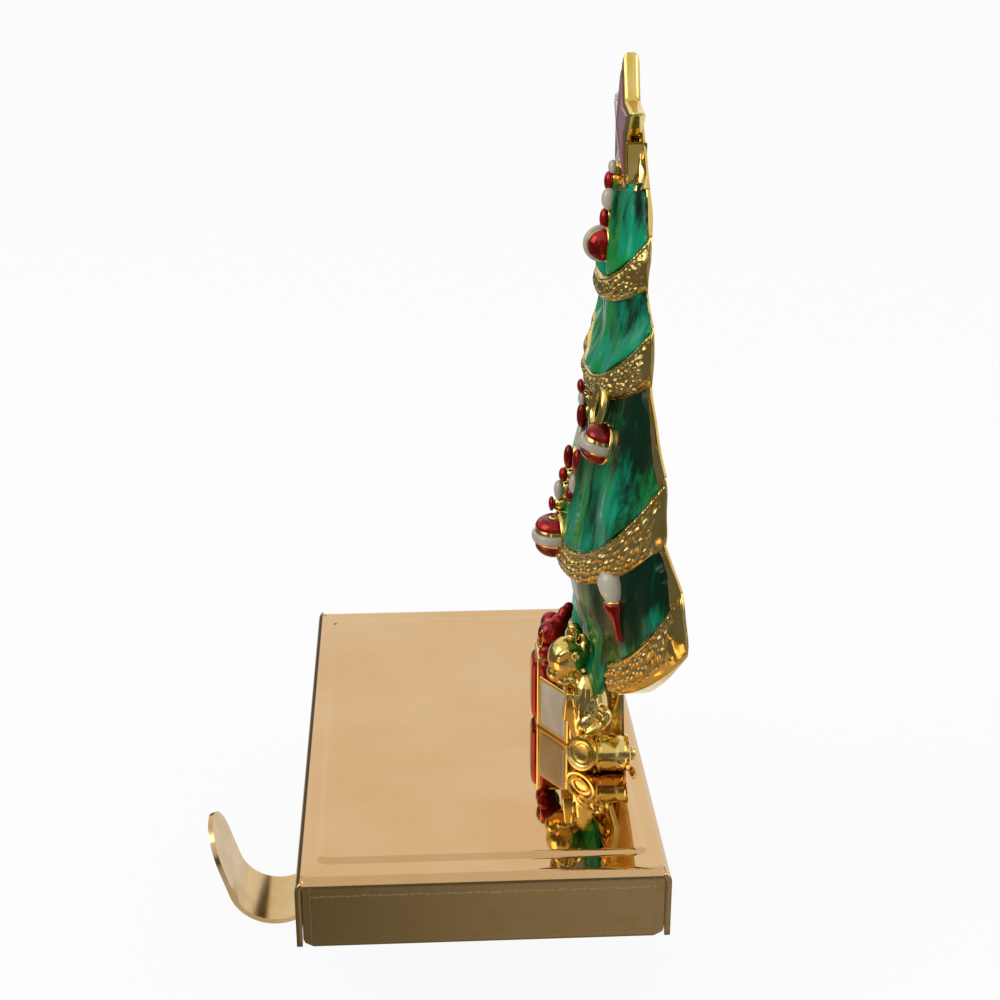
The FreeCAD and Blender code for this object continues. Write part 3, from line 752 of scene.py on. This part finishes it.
def enamel_thinness_and_painted_light(across, down, fold, index):
    """How thin the enamel is at a place of a tier, with painted light and shade, from 0, pooled dark, to 1,
    clear and bright.
    """
    # Painted shade under the garland above: a tier is darker at its top and lighter towards its hem.
    hem = smoothstep(down, 0.35, 1.0)
    # Painted light: brighter in the middle of a tier, where it faces forward.
    front = 1 - smoothstep(abs(across), 0.12, 0.55 if index < 3 else 0.42)
    patch = wander(across * 5.0, down * 2.2, index * 3.9)
    clear = (0.45, 0.4, 0.0, 0.1)[index]
    bright = 0.1 + clear + 0.55 * hem + 0.32 * front + 0.7 * patch + 0.18 * fold
    # Painted shade: the last tier's flanks, and every tier's sides where they turn back, are darkened.
    painted_flank_shade = (0.4 if index == 3 else 0.0) * smoothstep(abs(across), 0.35, 0.6)
    return held(bright - painted_flank_shade - 0.35 * smoothstep(abs(across), 0.7, 1.0))


class HOLDER_OT_enamel(bpy.types.Operator):
    """Fills the four tiers with folded green enamel inside a wavy gold rim"""
    bl_idname = "holder.enamel"
    bl_label = "Fill the Green Tiers"

    def execute(self, context):
        sizes = context.scene.holder_sizes
        depth = sizes.fold_depth / mm
        rows, columns = 64, 180
        for index, tier in enumerate(tiers):

            def rim(down, side):
                """The wavering width of the gold rim along one side."""
                return sizes.rim_width / mm * (0.8 + 0.9 * wander(down * 5.0, side * 3.0, index * 4.7))

            edges = {side: [tier.edge(row / rows, rim(row / rows, side)) for row in range(rows + 1)]
                     for side in (-1, 1)}

            def place(across, down):
                side = 1 if across >= 0 else -1
                share = across * edges[side][round(down * rows)]
                border = smoothstep(1 - abs(across), 0.0, 0.04)
                fold = fold_height(share, down, index * 11.3, depth)
                tuck = border * waist(index, down)
                low_fold = smoothstep(abs(share) * tier.hem.values[0], 20.5, 14.0) if index == 3 else 0.0
                height = border * (fold + 0.35 - tuck) - (1 - border) * 0.4
                height += 2.4 * low_fold * smoothstep(down, 0.62, 0.8)
                spot = tier.raised(share, down * (1 + 0.42 * low_fold), height)
                # The enamel's thinness, with its painted light and shade, is kept on the mesh for its
                # finish.
                thin = enamel_thinness_and_painted_light(share, down, fold / depth, index)
                return in_front(spot, 0.5 * sizes.rim_width / mm), thin

            fill = thickened(sheet(columns, rows, place, "thinness_and_painted_light"), 1.2, 0.35)
            finished("enamel_tier_%d" % (index + 1), fill, "enamel_green", ("green_enamel",))
        return {"FINISHED"}


def dots(length, width, spacing):
    """Round nubs on a loose grid, as a height from 0 to 1."""
    tallest = 0.0
    row_here, column_here = math.floor(width / spacing), math.floor(length / spacing)
    for row in (row_here - 1, row_here, row_here + 1):
        for column in (column_here - 1, column_here, column_here + 1):
            stray = noise.cell_vector(Vector((column + 0.5, row + 0.5, 7.5)))
            centre_length = (column + 0.5 + 0.5 * (row % 2) + 0.4 * (stray.x - 0.5)) * spacing
            centre_width = (row + 0.5 + 0.4 * (stray.y - 0.5)) * spacing
            away = math.hypot(length - centre_length, width - centre_width)
            share = away / (spacing * (0.4 + 0.2 * stray.z))
            tallest = max(tallest, math.sqrt(max(0.0, 1 - share * share)))
    return tallest


def crinkle(spot):
    """Worm-like ridges with pits between them, as a height from 0 to 1."""
    distances, _ = noise.voronoi(spot / 1.15)
    ridge = 1 - smoothstep(distances[1] - distances[0], 0.05, 0.5)
    return 0.75 * ridge + 0.25 * (1 - smoothstep(distances[0], 0.1, 0.35))


class HOLDER_OT_tinsel(bpy.types.Operator):
    """Lays the four knobbly garlands of tinsel over the hems of the tiers"""
    bl_idname = "holder.tinsel"
    bl_label = "Lay the Tinsel"

    def execute(self, context):
        sizes = context.scene.holder_sizes
        spacing, tall = sizes.nub_spacing / mm, sizes.nub_height / mm
        swell = sizes.tinsel_swell / mm
        grid_step, bead_spacing = 0.26, 0.95
        for index, garland in enumerate(garlands):
            half = garland.hem.radius * garland.hem.half_angle
            width = (garland.neck.point(0) - garland.hem.point(0)).length
            columns, rows = round(half * 2 / grid_step), 60

            def place(across, down):
                length = across * half
                roll = math.sin(math.pi * held(down)) ** 0.55
                spot = garland.point(across, down)
                wave = wander(length * 0.35, down * 2.0, index * 5.1)
                margin = 1.5 + 4.5 * down if index > 1 else 0.8 + 1.2 * down
                smooth_end = smoothstep(half - abs(length) + 1.8 * wave, margin + 1.5, margin - 1.0)
                low = 0.86 + 0.1 * smoothstep(abs(length), 32.0, 22.0) if index == 3 else 0.97
                knobbly = (1 - smooth_end) * smoothstep(down, 0.16, 0.22) * smoothstep(down, low, low - 0.09)
                nub = crinkle(spot) if index < 2 else dots(length * 0.62, down * width, spacing)
                beat = (length / bead_spacing) % 1 * 2 - 1
                upper_row = math.exp(-((down - 0.11) / 0.05) ** 2)
                bead = math.sqrt(max(0.0, 1 - beat ** 2)) * upper_row * (1 - smooth_end)
                lump = 0.7 * noise.noise(spot * 0.2)
                height = swell * roll + lump * roll + 0.45 * bead - 0.5
                height += nub * tall * knobbly - 0.12 * knobbly
                end = smoothstep(abs(length), 28.0, 21.0) if index == 3 else 0.0
                made = garland.raised(across, down, height - 2.2 * end)
                made.z -= 2.0 * end * down
                # The second value is the painted shade of the pits between the nubs, which also makes them
                # rougher.
                return in_front(made, 0.3), knobbly * (0.25 + 0.5 * (1 - min(1.0, nub * 1.5)))

            cast("tinsel_%d" % (index + 1), thickened(sheet(columns, rows, place, "pit_shade_and_frost"), 1.6))
        return {"FINISHED"}


def star_outline(radius):
    """A star of ten corners in the XZ plane about the origin."""
    bm = bmesh.new()
    bmesh.ops.create_circle(bm, cap_ends=True, cap_tris=False, segments=10, radius=radius)
    for vert in bm.verts:
        turn = math.atan2(vert.co.x, vert.co.y) / math.radians(36)
        if round(turn) % 2:
            vert.co *= 0.46
    bmesh.ops.rotate(bm, cent=(0, 0, 0), matrix=Matrix.Rotation(math.radians(90), 3, "X"), verts=bm.verts)
    return bm


class HOLDER_OT_star(bpy.types.Operator):
    """Makes the star: a thick gold rim, a domed enamel face and the cheeks that carry it"""
    bl_idname = "holder.star"
    bl_label = "Make the Star"

    def execute(self, context):
        radius, thickness, face_radius, star_top = 15.0, 3.6, 11.2, 153.2
        centre = Vector((0, tree_back - 0.5, base_top + star_top - radius))
        body = star_outline(radius)
        bmesh.ops.translate(body, vec=(0, -thickness, 0), verts=extruded(body)[0])
        bmesh.ops.recalc_face_normals(body, faces=body.faces)
        rounded(body, 1.1, 4)
        gold = bmesh.new()
        join(gold, body, Matrix.Translation(centre))
        for side in (-1, 1):
            cheek = bmesh.new()
            bmesh.ops.create_cube(cheek, size=1.0)
            bmesh.ops.scale(cheek, vec=(1.8, 4.2, 9.6), verts=cheek.verts)
            outer = [face for face in cheek.faces if face.calc_center_median().x * side > 0.5]
            bmesh.ops.inset_region(cheek, faces=outer, thickness=0.5, depth=-0.6)
            rounded(cheek, 0.25, 3)
            join(gold, cheek, Matrix.Translation(centre + Vector((side * 8.6, -1.3, -6.8))))
        cast("star_gold", gold, 50)
        fill = star_outline(face_radius)
        corners, faces = extruded(fill)
        bmesh.ops.translate(fill, vec=(0, -0.4, 0), verts=corners)
        dome = bmesh.ops.poke(fill, faces=faces)
        bmesh.ops.translate(fill, vec=(0, -0.8, 0), verts=dome["verts"])
        bmesh.ops.recalc_face_normals(fill, faces=fill.faces)
        rounded(fill, 0.3, 3)
        enamel = bmesh.new()
        join(enamel, fill, Matrix.Translation(centre + Vector((0, -3.5, 0))))
        finished("star_face", enamel, "enamel_lilac", ("star_enamel",), 60)
        return {"FINISHED"}


class Ornament:
    """An ornament's gold setting and its enamel, collected by colour."""

    def __init__(self):
        self.meshes = {colour: bmesh.new() for colour in ("gold", "red", "white")}

    def add(self, colour, part, place):
        """Adds a closed part to one of the colours."""
        join(self.meshes[colour], part, place)

    def finish(self, name):
        """Makes one piece of each colour that was used."""
        finishes = {
            "gold": ("cast_gold", "tree_gold", "tree_casting"),
            "red": ("enamel_red", "red_enamel", "red_enamel"),
            "white": ("enamel_white", "white_enamel", "white_enamel"),
        }
        for colour, mesh in self.meshes.items():
            if mesh.verts:
                material, slot, node = finishes[colour]
                finished("%s_%s" % (name, colour), mesh, material, (node,))
            else:
                mesh.free()


def band_profile(radius, low, high):
    """The section of one band of a ball between two heights, slightly bulged and closed inside."""
    gap = 0.09 * radius
    start = math.asin(max(-1.0, (low + (gap if low > -radius else 0)) / radius))
    end = math.asin(min(1.0, (high - (gap if high < radius else 0)) / radius))
    steps = 10
    points = [(0.0, radius * math.sin(start))] if low > -radius else []
    for step in range(steps + 1):
        share = step / steps
        angle = start + (end - start) * share
        bulge = radius + 0.09 * radius * math.sqrt(max(0.0, 1 - (2 * share - 1) ** 2))
        points.append((max(0.0, bulge * math.cos(angle)), bulge * math.sin(angle)))
    if high < radius:
        points.append((0.0, radius * math.sin(end)))
    return points


def add_ball(ornament, radius, colours, place):
    """A ball with bands of enamel, in a gold cup that holds it from behind."""
    band = 2 * radius / len(colours)
    for index, colour in enumerate(colours):
        low = -radius + index * band
        ornament.add(colour, spun(band_profile(radius, low, low + band)), place)
    ornament.add("gold", ball((0.96 * radius,) * 3), place)
    outer = 1.12 * radius
    angles = [math.radians(90 - 11 * step) for step in range(9)]
    cup = [(outer * math.cos(angle), outer * math.sin(angle)) for angle in angles]
    cup += [(0.9 * radius, 0.0), (0.0, 0.4 * radius)]
    ornament.add("gold", spun(cup), place @ Matrix.Translation((0, 0.12 * radius, 0)) @ turned(-90, "X"))


def add_bead(ornament, tier, colour, spot, wide, tall):
    """A domed bead seen from the side of the tree, on a gold backing that reaches the tier."""
    ornament.add(colour, ball((1.6, wide / 8.6, tall / 7.4)), Matrix.Translation(spot))
    front = tier.point(*tier.locate(spot.x, spot.z)).y
    reach = max(0.6, (front - spot.y) / 2 + 0.5)
    backing = ball((1.3, reach, tall / 8.0 + 0.1))
    ornament.add("gold", backing, Matrix.Translation((spot.x, spot.y + reach + 0.1, spot.z - 0.25)))


class HOLDER_OT_ornaments(bpy.types.Operator):
    """Hangs the canes, the striped balls and the icicle on the tiers"""
    bl_idname = "holder.ornaments"
    bl_label = "Hang the Ornaments"

    def execute(self, context):
        canes = {
            0: [("white", 0.5, 30.0, 145.7, 8, 11), ("red", 0.5, 29.3, 142.7, 9, 16),
                ("white", 1.5, 29.3, 139.2, 14, 18), ("red", 0.5, 28.5, 134.8, 9, 17)],
            2: [("red", -1.0, 24.3, 97.6, 7, 11.5), ("white", -1.0, 24.6, 94.7, 7.5, 12.6),
                ("red", -0.5, 24.6, 90.9, 10, 22), ("white", 0.0, 24.3, 85.7, 8.6, 23),
                ("red", 3.0, 23.5, 81.5, 10, 21), ("white", 4.0, 22.6, 76.6, 9, 17),
                ("red", 3.4, 22.2, 73.9, 11, 14), ("red", -3.0, 22.1, 80.4, 10, 21),
                ("red", -3.5, 21.0, 76.0, 9, 12.6), ("white", -4.0, 20.1, 72.2, 10, 17),
                ("red", -4.5, 18.5, 68.7, 6, 12.6)],
        }
        beads = Ornament()
        for index, row in canes.items():
            for colour, x, y, z, wide, tall in row:
                add_bead(beads, tiers[index], colour, Vector((x, y, z)), wide, tall)
        beads.finish("canes")
        balls = Ornament()
        for radius, spot, outward, upward in (
                (3.7, (1.0, 28.0, 129.7), Vector((0.1, -1, 0)), (1, 0.1, 0)),
                (4.1, (18.0, 26.6, 91.2), tiers[2].outward_at(18.0, 91.2), (0.1, 0.4, 1)),
                (4.7, (-1.0, 18.9, 62.5), Vector((0.1, -1, 0)), up)):
            add_ball(balls, radius, ("red", "white", "red"), facing(Vector(spot), outward, Vector(upward)))
        loop = facing(Vector((16.0, 26.6, 98.2)), tiers[2].outward_at(16.0, 98.0), up)
        balls.add("gold", ring(3.2, 1.2), loop @ Matrix.Diagonal((0.9, 1.0, 1.25, 1.0)))
        balls.finish("balls")
        icicle = Ornament()
        top, tip = Vector((33.0, 28.2, 65.2)), Vector((35.0, 30.2, 53.2))
        place = facing(top, tiers[3].outward_at(32.0, 62.0), top - tip)
        egg = [(0.0, -4.2), (1.1, -3.9), (2.1, -2.8), (2.8, -1.1), (3.05, 0.6), (2.8, 2.1), (1.9, 3.3),
               (0.9, 3.8), (0.0, 4.0)]
        drop = [(0.0, -12.4), (0.7, -12.2), (0.95, -11.4), (1.0, -9.5), (1.7, -6.5), (2.5, -4.2),
                (2.3, -3.5), (0.0, -3.0)]
        backing = [(0.0, -12.8), (0.9, -12.4), (1.1, -9.5), (1.8, -6.5), (2.5, -4.0), (2.7, 0.0),
                   (2.2, 2.6), (1.0, 3.6), (0.0, 3.8)]
        icicle.add("white", spun(egg), place)
        icicle.add("red", spun(drop), place)
        icicle.add("gold", ring(2.0, 0.35), place @ Matrix.Translation((0, 0, -3.3)) @ turned(90, "X"))
        icicle.add("gold", spun(backing), place @ Matrix.Translation((-0.5, 1.4, 0.0)))
        side_loop = Matrix.Translation((2.4, 1.6, 0.8)) @ Matrix.Diagonal((0.6, 1, 1.3, 1))
        icicle.add("gold", ring(1.5, 0.22), place @ side_loop)
        icicle.finish("icicle")
        return {"FINISHED"}


def rounded_block(size, radius):
    """A block on the local origin with rounded edges."""
    bm = bmesh.new()
    bmesh.ops.create_cube(bm, size=1)
    bmesh.ops.translate(bm, vec=(0.5, 0.5, 0.5), verts=bm.verts)
    bmesh.ops.scale(bm, vec=size, verts=bm.verts)
    rounded(bm, radius, 4)
    return bm


def pillow(width, height, dome):
    """A domed panel in the XZ plane that faces -Y, with rounded corners."""
    def place(across, down):
        round_off = (1 - abs(across) ** 6) * (1 - abs(2 * down - 1) ** 6)
        corner = 1 - 0.06 * (abs(across) * abs(2 * down - 1)) ** 3
        return Vector((across * corner * width / 2, -dome * round_off ** 0.5,
                       (0.5 - down) * corner * height))

    bm = sheet(16, 16, place)
    for vert in extruded(bm)[0]:
        vert.co.y = 0.8
    return bm


def add_parcel(ornament, size, corner, turn, colour, dome):
    """A wrapped box: a gold block with domed enamel panels on its front and right faces."""
    width, depth, height = size
    rim = 1.3
    place = Matrix.Translation(corner) @ turned(turn, "Z")
    ornament.add("gold", rounded_block(size, 0.5), place)
    front = Matrix.Translation((width / 2, 0.1, height / 2))
    ornament.add(colour, pillow(width - rim, height - rim, dome), place @ front)
    right = Matrix.Translation((width - 0.1, depth / 2, height / 2)) @ turned(90, "Z")
    ornament.add(colour, pillow(depth - rim, height - rim, dome), place @ right)


class HOLDER_OT_parcels(bpy.types.Operator):
    """Stacks the wrapped parcels at the foot of the tree, with the bow on the tall one"""
    bl_idname = "holder.parcels"
    bl_label = "Stack the Parcels"

    def execute(self, context):
        stack = Ornament()
        add_parcel(stack, (8.2, 8.0, 17.6), Vector((-5.3, 15.0, base_top)), 0, "red", 1.3)
        add_parcel(stack, (11.2, 8.0, 13.0), Vector((3.1, 15.3, base_top)), 32.8, "white", 0.35)
        add_parcel(stack, (8.0, 8.0, 11.5), Vector((-10.5, 16.8, base_top)), -15, "white", 0.35)
        bow = lumped([
            ((2.6, 18.2, 39.6), (2.8, 3.2, 3.4)), ((1.6, 20.0, 41.6), (2.0, 2.2, 2.3)),
            ((0.8, 21.4, 43.6), (1.5, 1.7, 2.0)), ((0.2, 22.3, 45.0), (1.2, 1.2, 1.3)),
            ((-2.6, 18.6, 39.6), (2.8, 2.6, 3.0)), ((0.4, 17.6, 36.4), (3.2, 2.6, 2.4))])
        stack.add("red", melted(bow, 0.25, 12), Matrix())
        stack.add("red", ball((1.5, 1.7, 1.9)), aimed(Vector((4.4, 16.9, 35.9)), Vector((0.2, 0.5, 0.8))))
        opening = facing(Vector((3.9, 15.85, 38.9)), Vector((0.75, -1, 0)), Vector((0, 0.25, 1)))
        stack.add("gold", ring(1.7, 0.28), opening @ Matrix.Diagonal((0.4, 1, 1.25, 1)))
        stack.finish("parcels")
        return {"FINISHED"}


def lumped(balls):
    """Overlapping balls, each from its centre and its radii."""
    bm = bmesh.new()
    for spot, radii in balls:
        join(bm, ball(radii), Matrix.Translation(spot))
    return bm


def melted(bm, voxel, smoothing):
    """Joins overlapping bodies into one smooth skin."""
    mesh = bpy.data.meshes.new("melt")
    bm.to_mesh(mesh)
    bm.free()
    lump = bpy.data.objects.new("melt", mesh)
    bpy.context.collection.objects.link(lump)
    remesh = lump.modifiers.new("Remesh", "REMESH")
    remesh.mode = "VOXEL"
    remesh.voxel_size = voxel
    smooth = lump.modifiers.new("Smooth", "SMOOTH")
    smooth.factor = 0.5
    smooth.iterations = smoothing
    graph = bpy.context.evaluated_depsgraph_get()
    skin = bpy.data.meshes.new_from_object(lump.evaluated_get(graph))
    made = bmesh.new()
    made.from_mesh(skin)
    bpy.data.objects.remove(lump)
    bpy.data.meshes.remove(mesh)
    bpy.data.meshes.remove(skin)
    return made


def limb(bm, radius, start, end):
    """A rounded bar between two points."""
    direction = end - start
    bar = ball((radius, radius, direction.length / 2 + radius * 0.8), 20)
    join(bm, bar, aimed((start + end) / 2, direction.normalized()))


def swept(bm, radius, points):
    """A rounded limb that follows a row of points."""
    for start, end in zip(points, points[1:]):
        limb(bm, radius, Vector(start), Vector(end))


class HOLDER_OT_toys(bpy.types.Operator):
    """Seats the bear at the foot of the tree, with its wheel and drum, and the trunk behind"""
    bl_idname = "holder.toys"
    bl_label = "Seat the Bear and the Toys"

    def execute(self, context):
        bear = lumped([
            ((16.0, 25.4, 27.1), (4.6, 4.6, 9.5)), ((14.0, 20.7, 39.4), (4.5, 4.3, 4.7)),
            ((14.3, 18.2, 35.9), (2.4, 2.0, 2.2)), ((14.0, 21.0, 34.6), (3.2, 3.6, 1.9)),
            ((12.0, 22.6, 44.0), (1.9, 1.9, 2.2)), ((12.4, 22.3, 46.0), (1.4, 1.4, 1.0)),
            ((14.4, 24.4, 40.0), (1.8, 1.3, 3.4))])
        swept(bear, 0.7, [(14.0, 24.2, 44.6), (14.6, 25.4, 42.4), (14.8, 25.0, 40.8), (15.0, 26.2, 39.0)])
        swept(bear, 1.5, [(16.5, 24.3, 35.4), (18.6, 26.4, 31.6), (19.6, 26.2, 28.0), (20.0, 23.8, 25.0)])
        swept(bear, 1.25, [(19.5, 27.6, 29.2), (20.3, 29.4, 28.0), (20.8, 28.4, 25.8), (21.4, 25.0, 24.0)])
        swept(bear, 0.9, [(17.4, 18.9, 40.9), (17.8, 19.6, 42.0), (17.7, 21.0, 42.6)])
        cast("bear", melted(bear, 0.22, 3))
        toys = bmesh.new()
        book = rounded_block((4.0, 5.2, 7.0), 0.5)
        join(toys, book, Matrix.Translation((15.2, 19.6, 25.9)) @ turned(-6, "X"))
        swept(toys, 0.5, [(19.3, 21.9, 32.6), (19.5, 22.2, 29.6), (19.4, 22.6, 26.8)])
        swept(toys, 0.45, [(19.0, 24.4, 32.4), (19.4, 24.6, 29.4), (19.3, 24.3, 27.0)])
        join(toys, ball((0.7, 1.1, 1.1)), Matrix.Translation((17.9, 22.3, 41.4)))
        for y, z in ((21.6, 41.9), (22.4, 42.3), (22.9, 41.6), (22.2, 40.8), (21.7, 41.1)):
            join(toys, ball((0.35, 0.38, 0.42), 10), Matrix.Translation((18.5, y, z)))
        out = Vector((0.74, -0.63, 0.2)).normalized()
        hub = Vector((23.4, 23.4, base_top + 4.0))
        disc = [(0.0, -2.4), (3.4, -2.4), (3.9, -1.9), (4.0, 0.0), (3.8, 0.4), (3.3, 0.45), (3.0, 0.0),
                (2.6, -0.15), (0.0, 0.0)]
        join(toys, spun(disc, 48), aimed(hub, out))
        join(toys, ring(1.9, 0.3), facing(hub + out * 0.05, out, up))
        barrel = [(0.0, 0.0), (3.7, 0.0), (4.1, 0.3), (4.1, 0.9), (3.7, 1.2), (3.9, 2.4), (4.05, 3.7),
                  (3.9, 5.1), (3.7, 6.3), (4.1, 6.6), (4.1, 7.3), (3.7, 7.6), (0.0, 7.6)]
        join(toys, spun(barrel, 48), aimed(Vector((23.5, 26.35, base_top + 4.1)), Vector((0, 1, 0))))
        join(toys, ball((1.5, 1.3, 1.6)), Matrix.Translation((20.0, 35.0, 18.0)))
        trunk = Tier(Curve(9.0, 20.0, 6.7, 20.0), Curve(15.0, 0.0, 11.7, 0.0))

        def bark(across, down):
            furrow = wander(across * 6, down * 1.2, 2.0) + 0.6 * wander(across * 15, down * 2.5, 5.0)
            spot = trunk.raised(across, down, 0.9 * furrow)
            spot.y = min(spot.y, back_at(spot.x) - 0.5)
            return spot

        stem = thickened(sheet(60, 30, bark), past_the_back)
        for vert in stem.verts:
            vert.co.y = min(vert.co.y, 34.0)
        join(toys, stem)
        cast("toys", toys, 40)
        # The nostril is a small ball given full painted shade, dark as the shaded pit of the nose.
        nostril = bmesh.new()
        nostril_shade_layer = nostril.verts.layers.float.new("pit_shade_and_frost")
        bmesh.ops.create_uvsphere(nostril, u_segments=12, v_segments=8, radius=0.45)
        bmesh.ops.translate(nostril, vec=(16.3, 17.6, 36.7), verts=nostril.verts)
        for vert in nostril.verts:
            vert[nostril_shade_layer] = 1.0
        cast("nostril", nostril)
        return {"FINISHED"}


def band(finish, value, low, high, soft):
    """1 where a value lies between two limits, with soft edges."""
    return finish.rescale(value, low - soft, low) * finish.rescale(value, high + soft, high)


def studio_world(room_light):
    """White all round to the camera, and in reflections a white studio, unlit behind the camera."""
    world = bpy.data.worlds.new("studio")
    bpy.context.scene.world = world
    finish = Finish(world)
    camera, mirror = finish.ray("Camera"), finish.ray("Glossy")
    ahead, sideways, rise = finish.axes(finish.node("ShaderNodeTexCoord", output="Generated"))
    overhead = 0.8 * finish.rescale(rise, 0.4, 0.55)
    narrow = (1 - finish.rescale(sideways, -0.22, -0.12)) * (1 - finish.rescale(rise, 0.1, 0.22))
    behind = finish.rescale(ahead, -0.55, -0.75) * (1 - narrow)
    left_box = 0.8 * finish.rescale(sideways, -0.7, -0.82) * finish.rescale(rise, 0.12, 0.28)
    right_box = finish.rescale(sideways, 0.8, 0.88)
    strips = band(finish, sideways, -0.42, -0.34, 0.03) + 0.8 * band(finish, sideways, 0.22, 0.3, 0.03)
    strips = strips * finish.rescale(rise, 0.0, 0.08) * finish.rescale(ahead, 0.0, 0.2)
    dark = (1 - overhead) * (1 - behind) * (1 - left_box) * (1 - right_box) * (1 - strips)
    reflected = 1.0 - 0.88 * dark
    plain = room_light * (1 - mirror) + reflected * mirror
    strength = plain * (1 - camera) + 1.0 * camera
    background = finish.node("ShaderNodeBackground", None, {"Color": (1, 1, 1, 1), "Strength": strength})
    finish.node("ShaderNodeOutputWorld", None, {"Surface": background})


def floor_finish():
    """A pale floor with the object's shadow, mirrored as lit behind the object and unlit in front."""
    finish = new_finish("pale_floor")
    camera, mirror, clear = finish.ray("Camera"), finish.ray("Glossy"), finish.ray("Transmission")
    x, y, _ = finish.axes(finish.place())
    # Painted light: to glossy rays the floor glows, bright behind the object and dim in front of it.
    lit = finish.rescale(x, 90.0, -20.0) * finish.rescale(y, -110.0, -60.0)
    painted_floor_light = 0.9 * lit + (1 - lit) * (0.13 + 0.19 * finish.rescale(y, -60.0, 30.0))
    paper = finish.node("ShaderNodeBsdfDiffuse", None, {"Color": (0.8, 0.8, 0.8, 1)})
    glow = finish.node("ShaderNodeEmission", None, {"Color": (1, 1, 1, 1), "Strength": 1.0})
    dark = finish.node("ShaderNodeEmission", None, {"Color": (0, 0, 0, 1), "Strength": 1.0})
    seen = finish.node("ShaderNodeMixShader", None, {0: 0.92, 1: paper, 2: glow})
    plain = finish.node("ShaderNodeMixShader", None, {0: camera + clear, 1: paper, 2: seen})
    mirrored = finish.node("ShaderNodeMixShader", None, {0: painted_floor_light, 1: dark, 2: glow})
    both = finish.node("ShaderNodeMixShader", None, {0: mirror, 1: plain, 2: mirrored})
    finish.node("ShaderNodeOutputMaterial", None, {"Surface": both})
    return finish.owner


def soft_lamp(name, spot, size, power):
    """A square soft lamp that faces the middle of the object, in metres."""
    light = bpy.data.lights.new(name, "AREA")
    light.size = size
    light.energy = power
    lamp = bpy.data.objects.new(name, light)
    lamp.location = spot
    lamp.rotation_euler = (up * 0.07 - lamp.location).to_track_quat("-Z", "Y").to_euler()
    bpy.context.collection.objects.link(lamp)


class HOLDER_OT_stage(bpy.types.Operator):
    """Sets up the floor, the soft lamps, the studio room and the camera"""
    bl_idname = "holder.stage"
    bl_label = "Set the Stage"

    def execute(self, context):
        scene = context.scene
        settings = scene.holder_finishes
        floor_half, floor_level = 3.0, -0.0325
        scene.view_settings.view_transform = "Standard"
        bm = bmesh.new()
        bmesh.ops.create_grid(bm, x_segments=1, y_segments=1, size=floor_half)
        bmesh.ops.translate(bm, vec=(0, 0, floor_level), verts=bm.verts)
        mesh = bpy.data.meshes.new("floor")
        bm.to_mesh(mesh)
        bm.free()
        mesh.materials.append(floor_finish())
        floor = bpy.data.objects.new("floor", mesh)
        context.collection.objects.link(floor)
        soft_lamp("lamp_left", Vector((0.25, -0.75, 0.6)), 0.6, settings.lamp_power * 2)
        soft_lamp("lamp_right", Vector((0.3, 0.8, 0.5)), 0.5, settings.lamp_power)
        studio_world(settings.room_light)
        # The photograph's own viewpoint, worked out from the edges of the base.
        view = bpy.data.cameras.new("camera")
        view.sensor_width = 36.0
        view.lens = 64.82
        camera = bpy.data.objects.new("camera", view)
        yaw, pitch = math.radians(3.115), math.radians(21.824)
        level = math.cos(pitch)
        forward = Vector((-math.cos(yaw) * level, math.sin(yaw) * level, -math.sin(pitch)))
        right = Vector((math.sin(yaw), math.cos(yaw), 0))
        viewpoint = Matrix((right, right.cross(forward), -forward)).transposed().to_4x4()
        viewpoint.translation = (0.3709, -0.01355, 0.22033)
        camera.matrix_world = viewpoint
        context.collection.objects.link(camera)
        scene.camera = camera
        return {"FINISHED"}


class HOLDER_PT_panel(bpy.types.Panel):
    """Lists the steps that build the stocking holder"""
    bl_label = "Stocking Holder"
    bl_idname = "HOLDER_PT_panel"
    bl_space_type = "VIEW_3D"
    bl_region_type = "UI"
    bl_category = "Stocking Holder"

    def draw(self, context):
        for step in steps:
            self.layout.operator(step.bl_idname)
        for group in (context.scene.holder_sizes, context.scene.holder_finishes):
            for name in group.__annotations__:
                self.layout.prop(group, name)


steps = (HOLDER_OT_stage, HOLDER_OT_plate, HOLDER_OT_cover, HOLDER_OT_body, HOLDER_OT_enamel,
         HOLDER_OT_tinsel, HOLDER_OT_star, HOLDER_OT_ornaments, HOLDER_OT_parcels, HOLDER_OT_toys)
classes = (HolderSizes, HolderFinishes, *steps, HOLDER_PT_panel)


def register():
    for item in classes:
        bpy.utils.register_class(item)
    bpy.types.Scene.holder_sizes = bpy.props.PointerProperty(type=HolderSizes)
    bpy.types.Scene.holder_finishes = bpy.props.PointerProperty(type=HolderFinishes)


def unregister():
    del bpy.types.Scene.holder_finishes
    del bpy.types.Scene.holder_sizes
    for item in reversed(classes):
        bpy.utils.unregister_class(item)


def main():
    register()
    for step in steps:
        group, name = step.bl_idname.split(".")
        getattr(getattr(bpy.ops, group), name)()


if __name__ == "__main__":
    main()
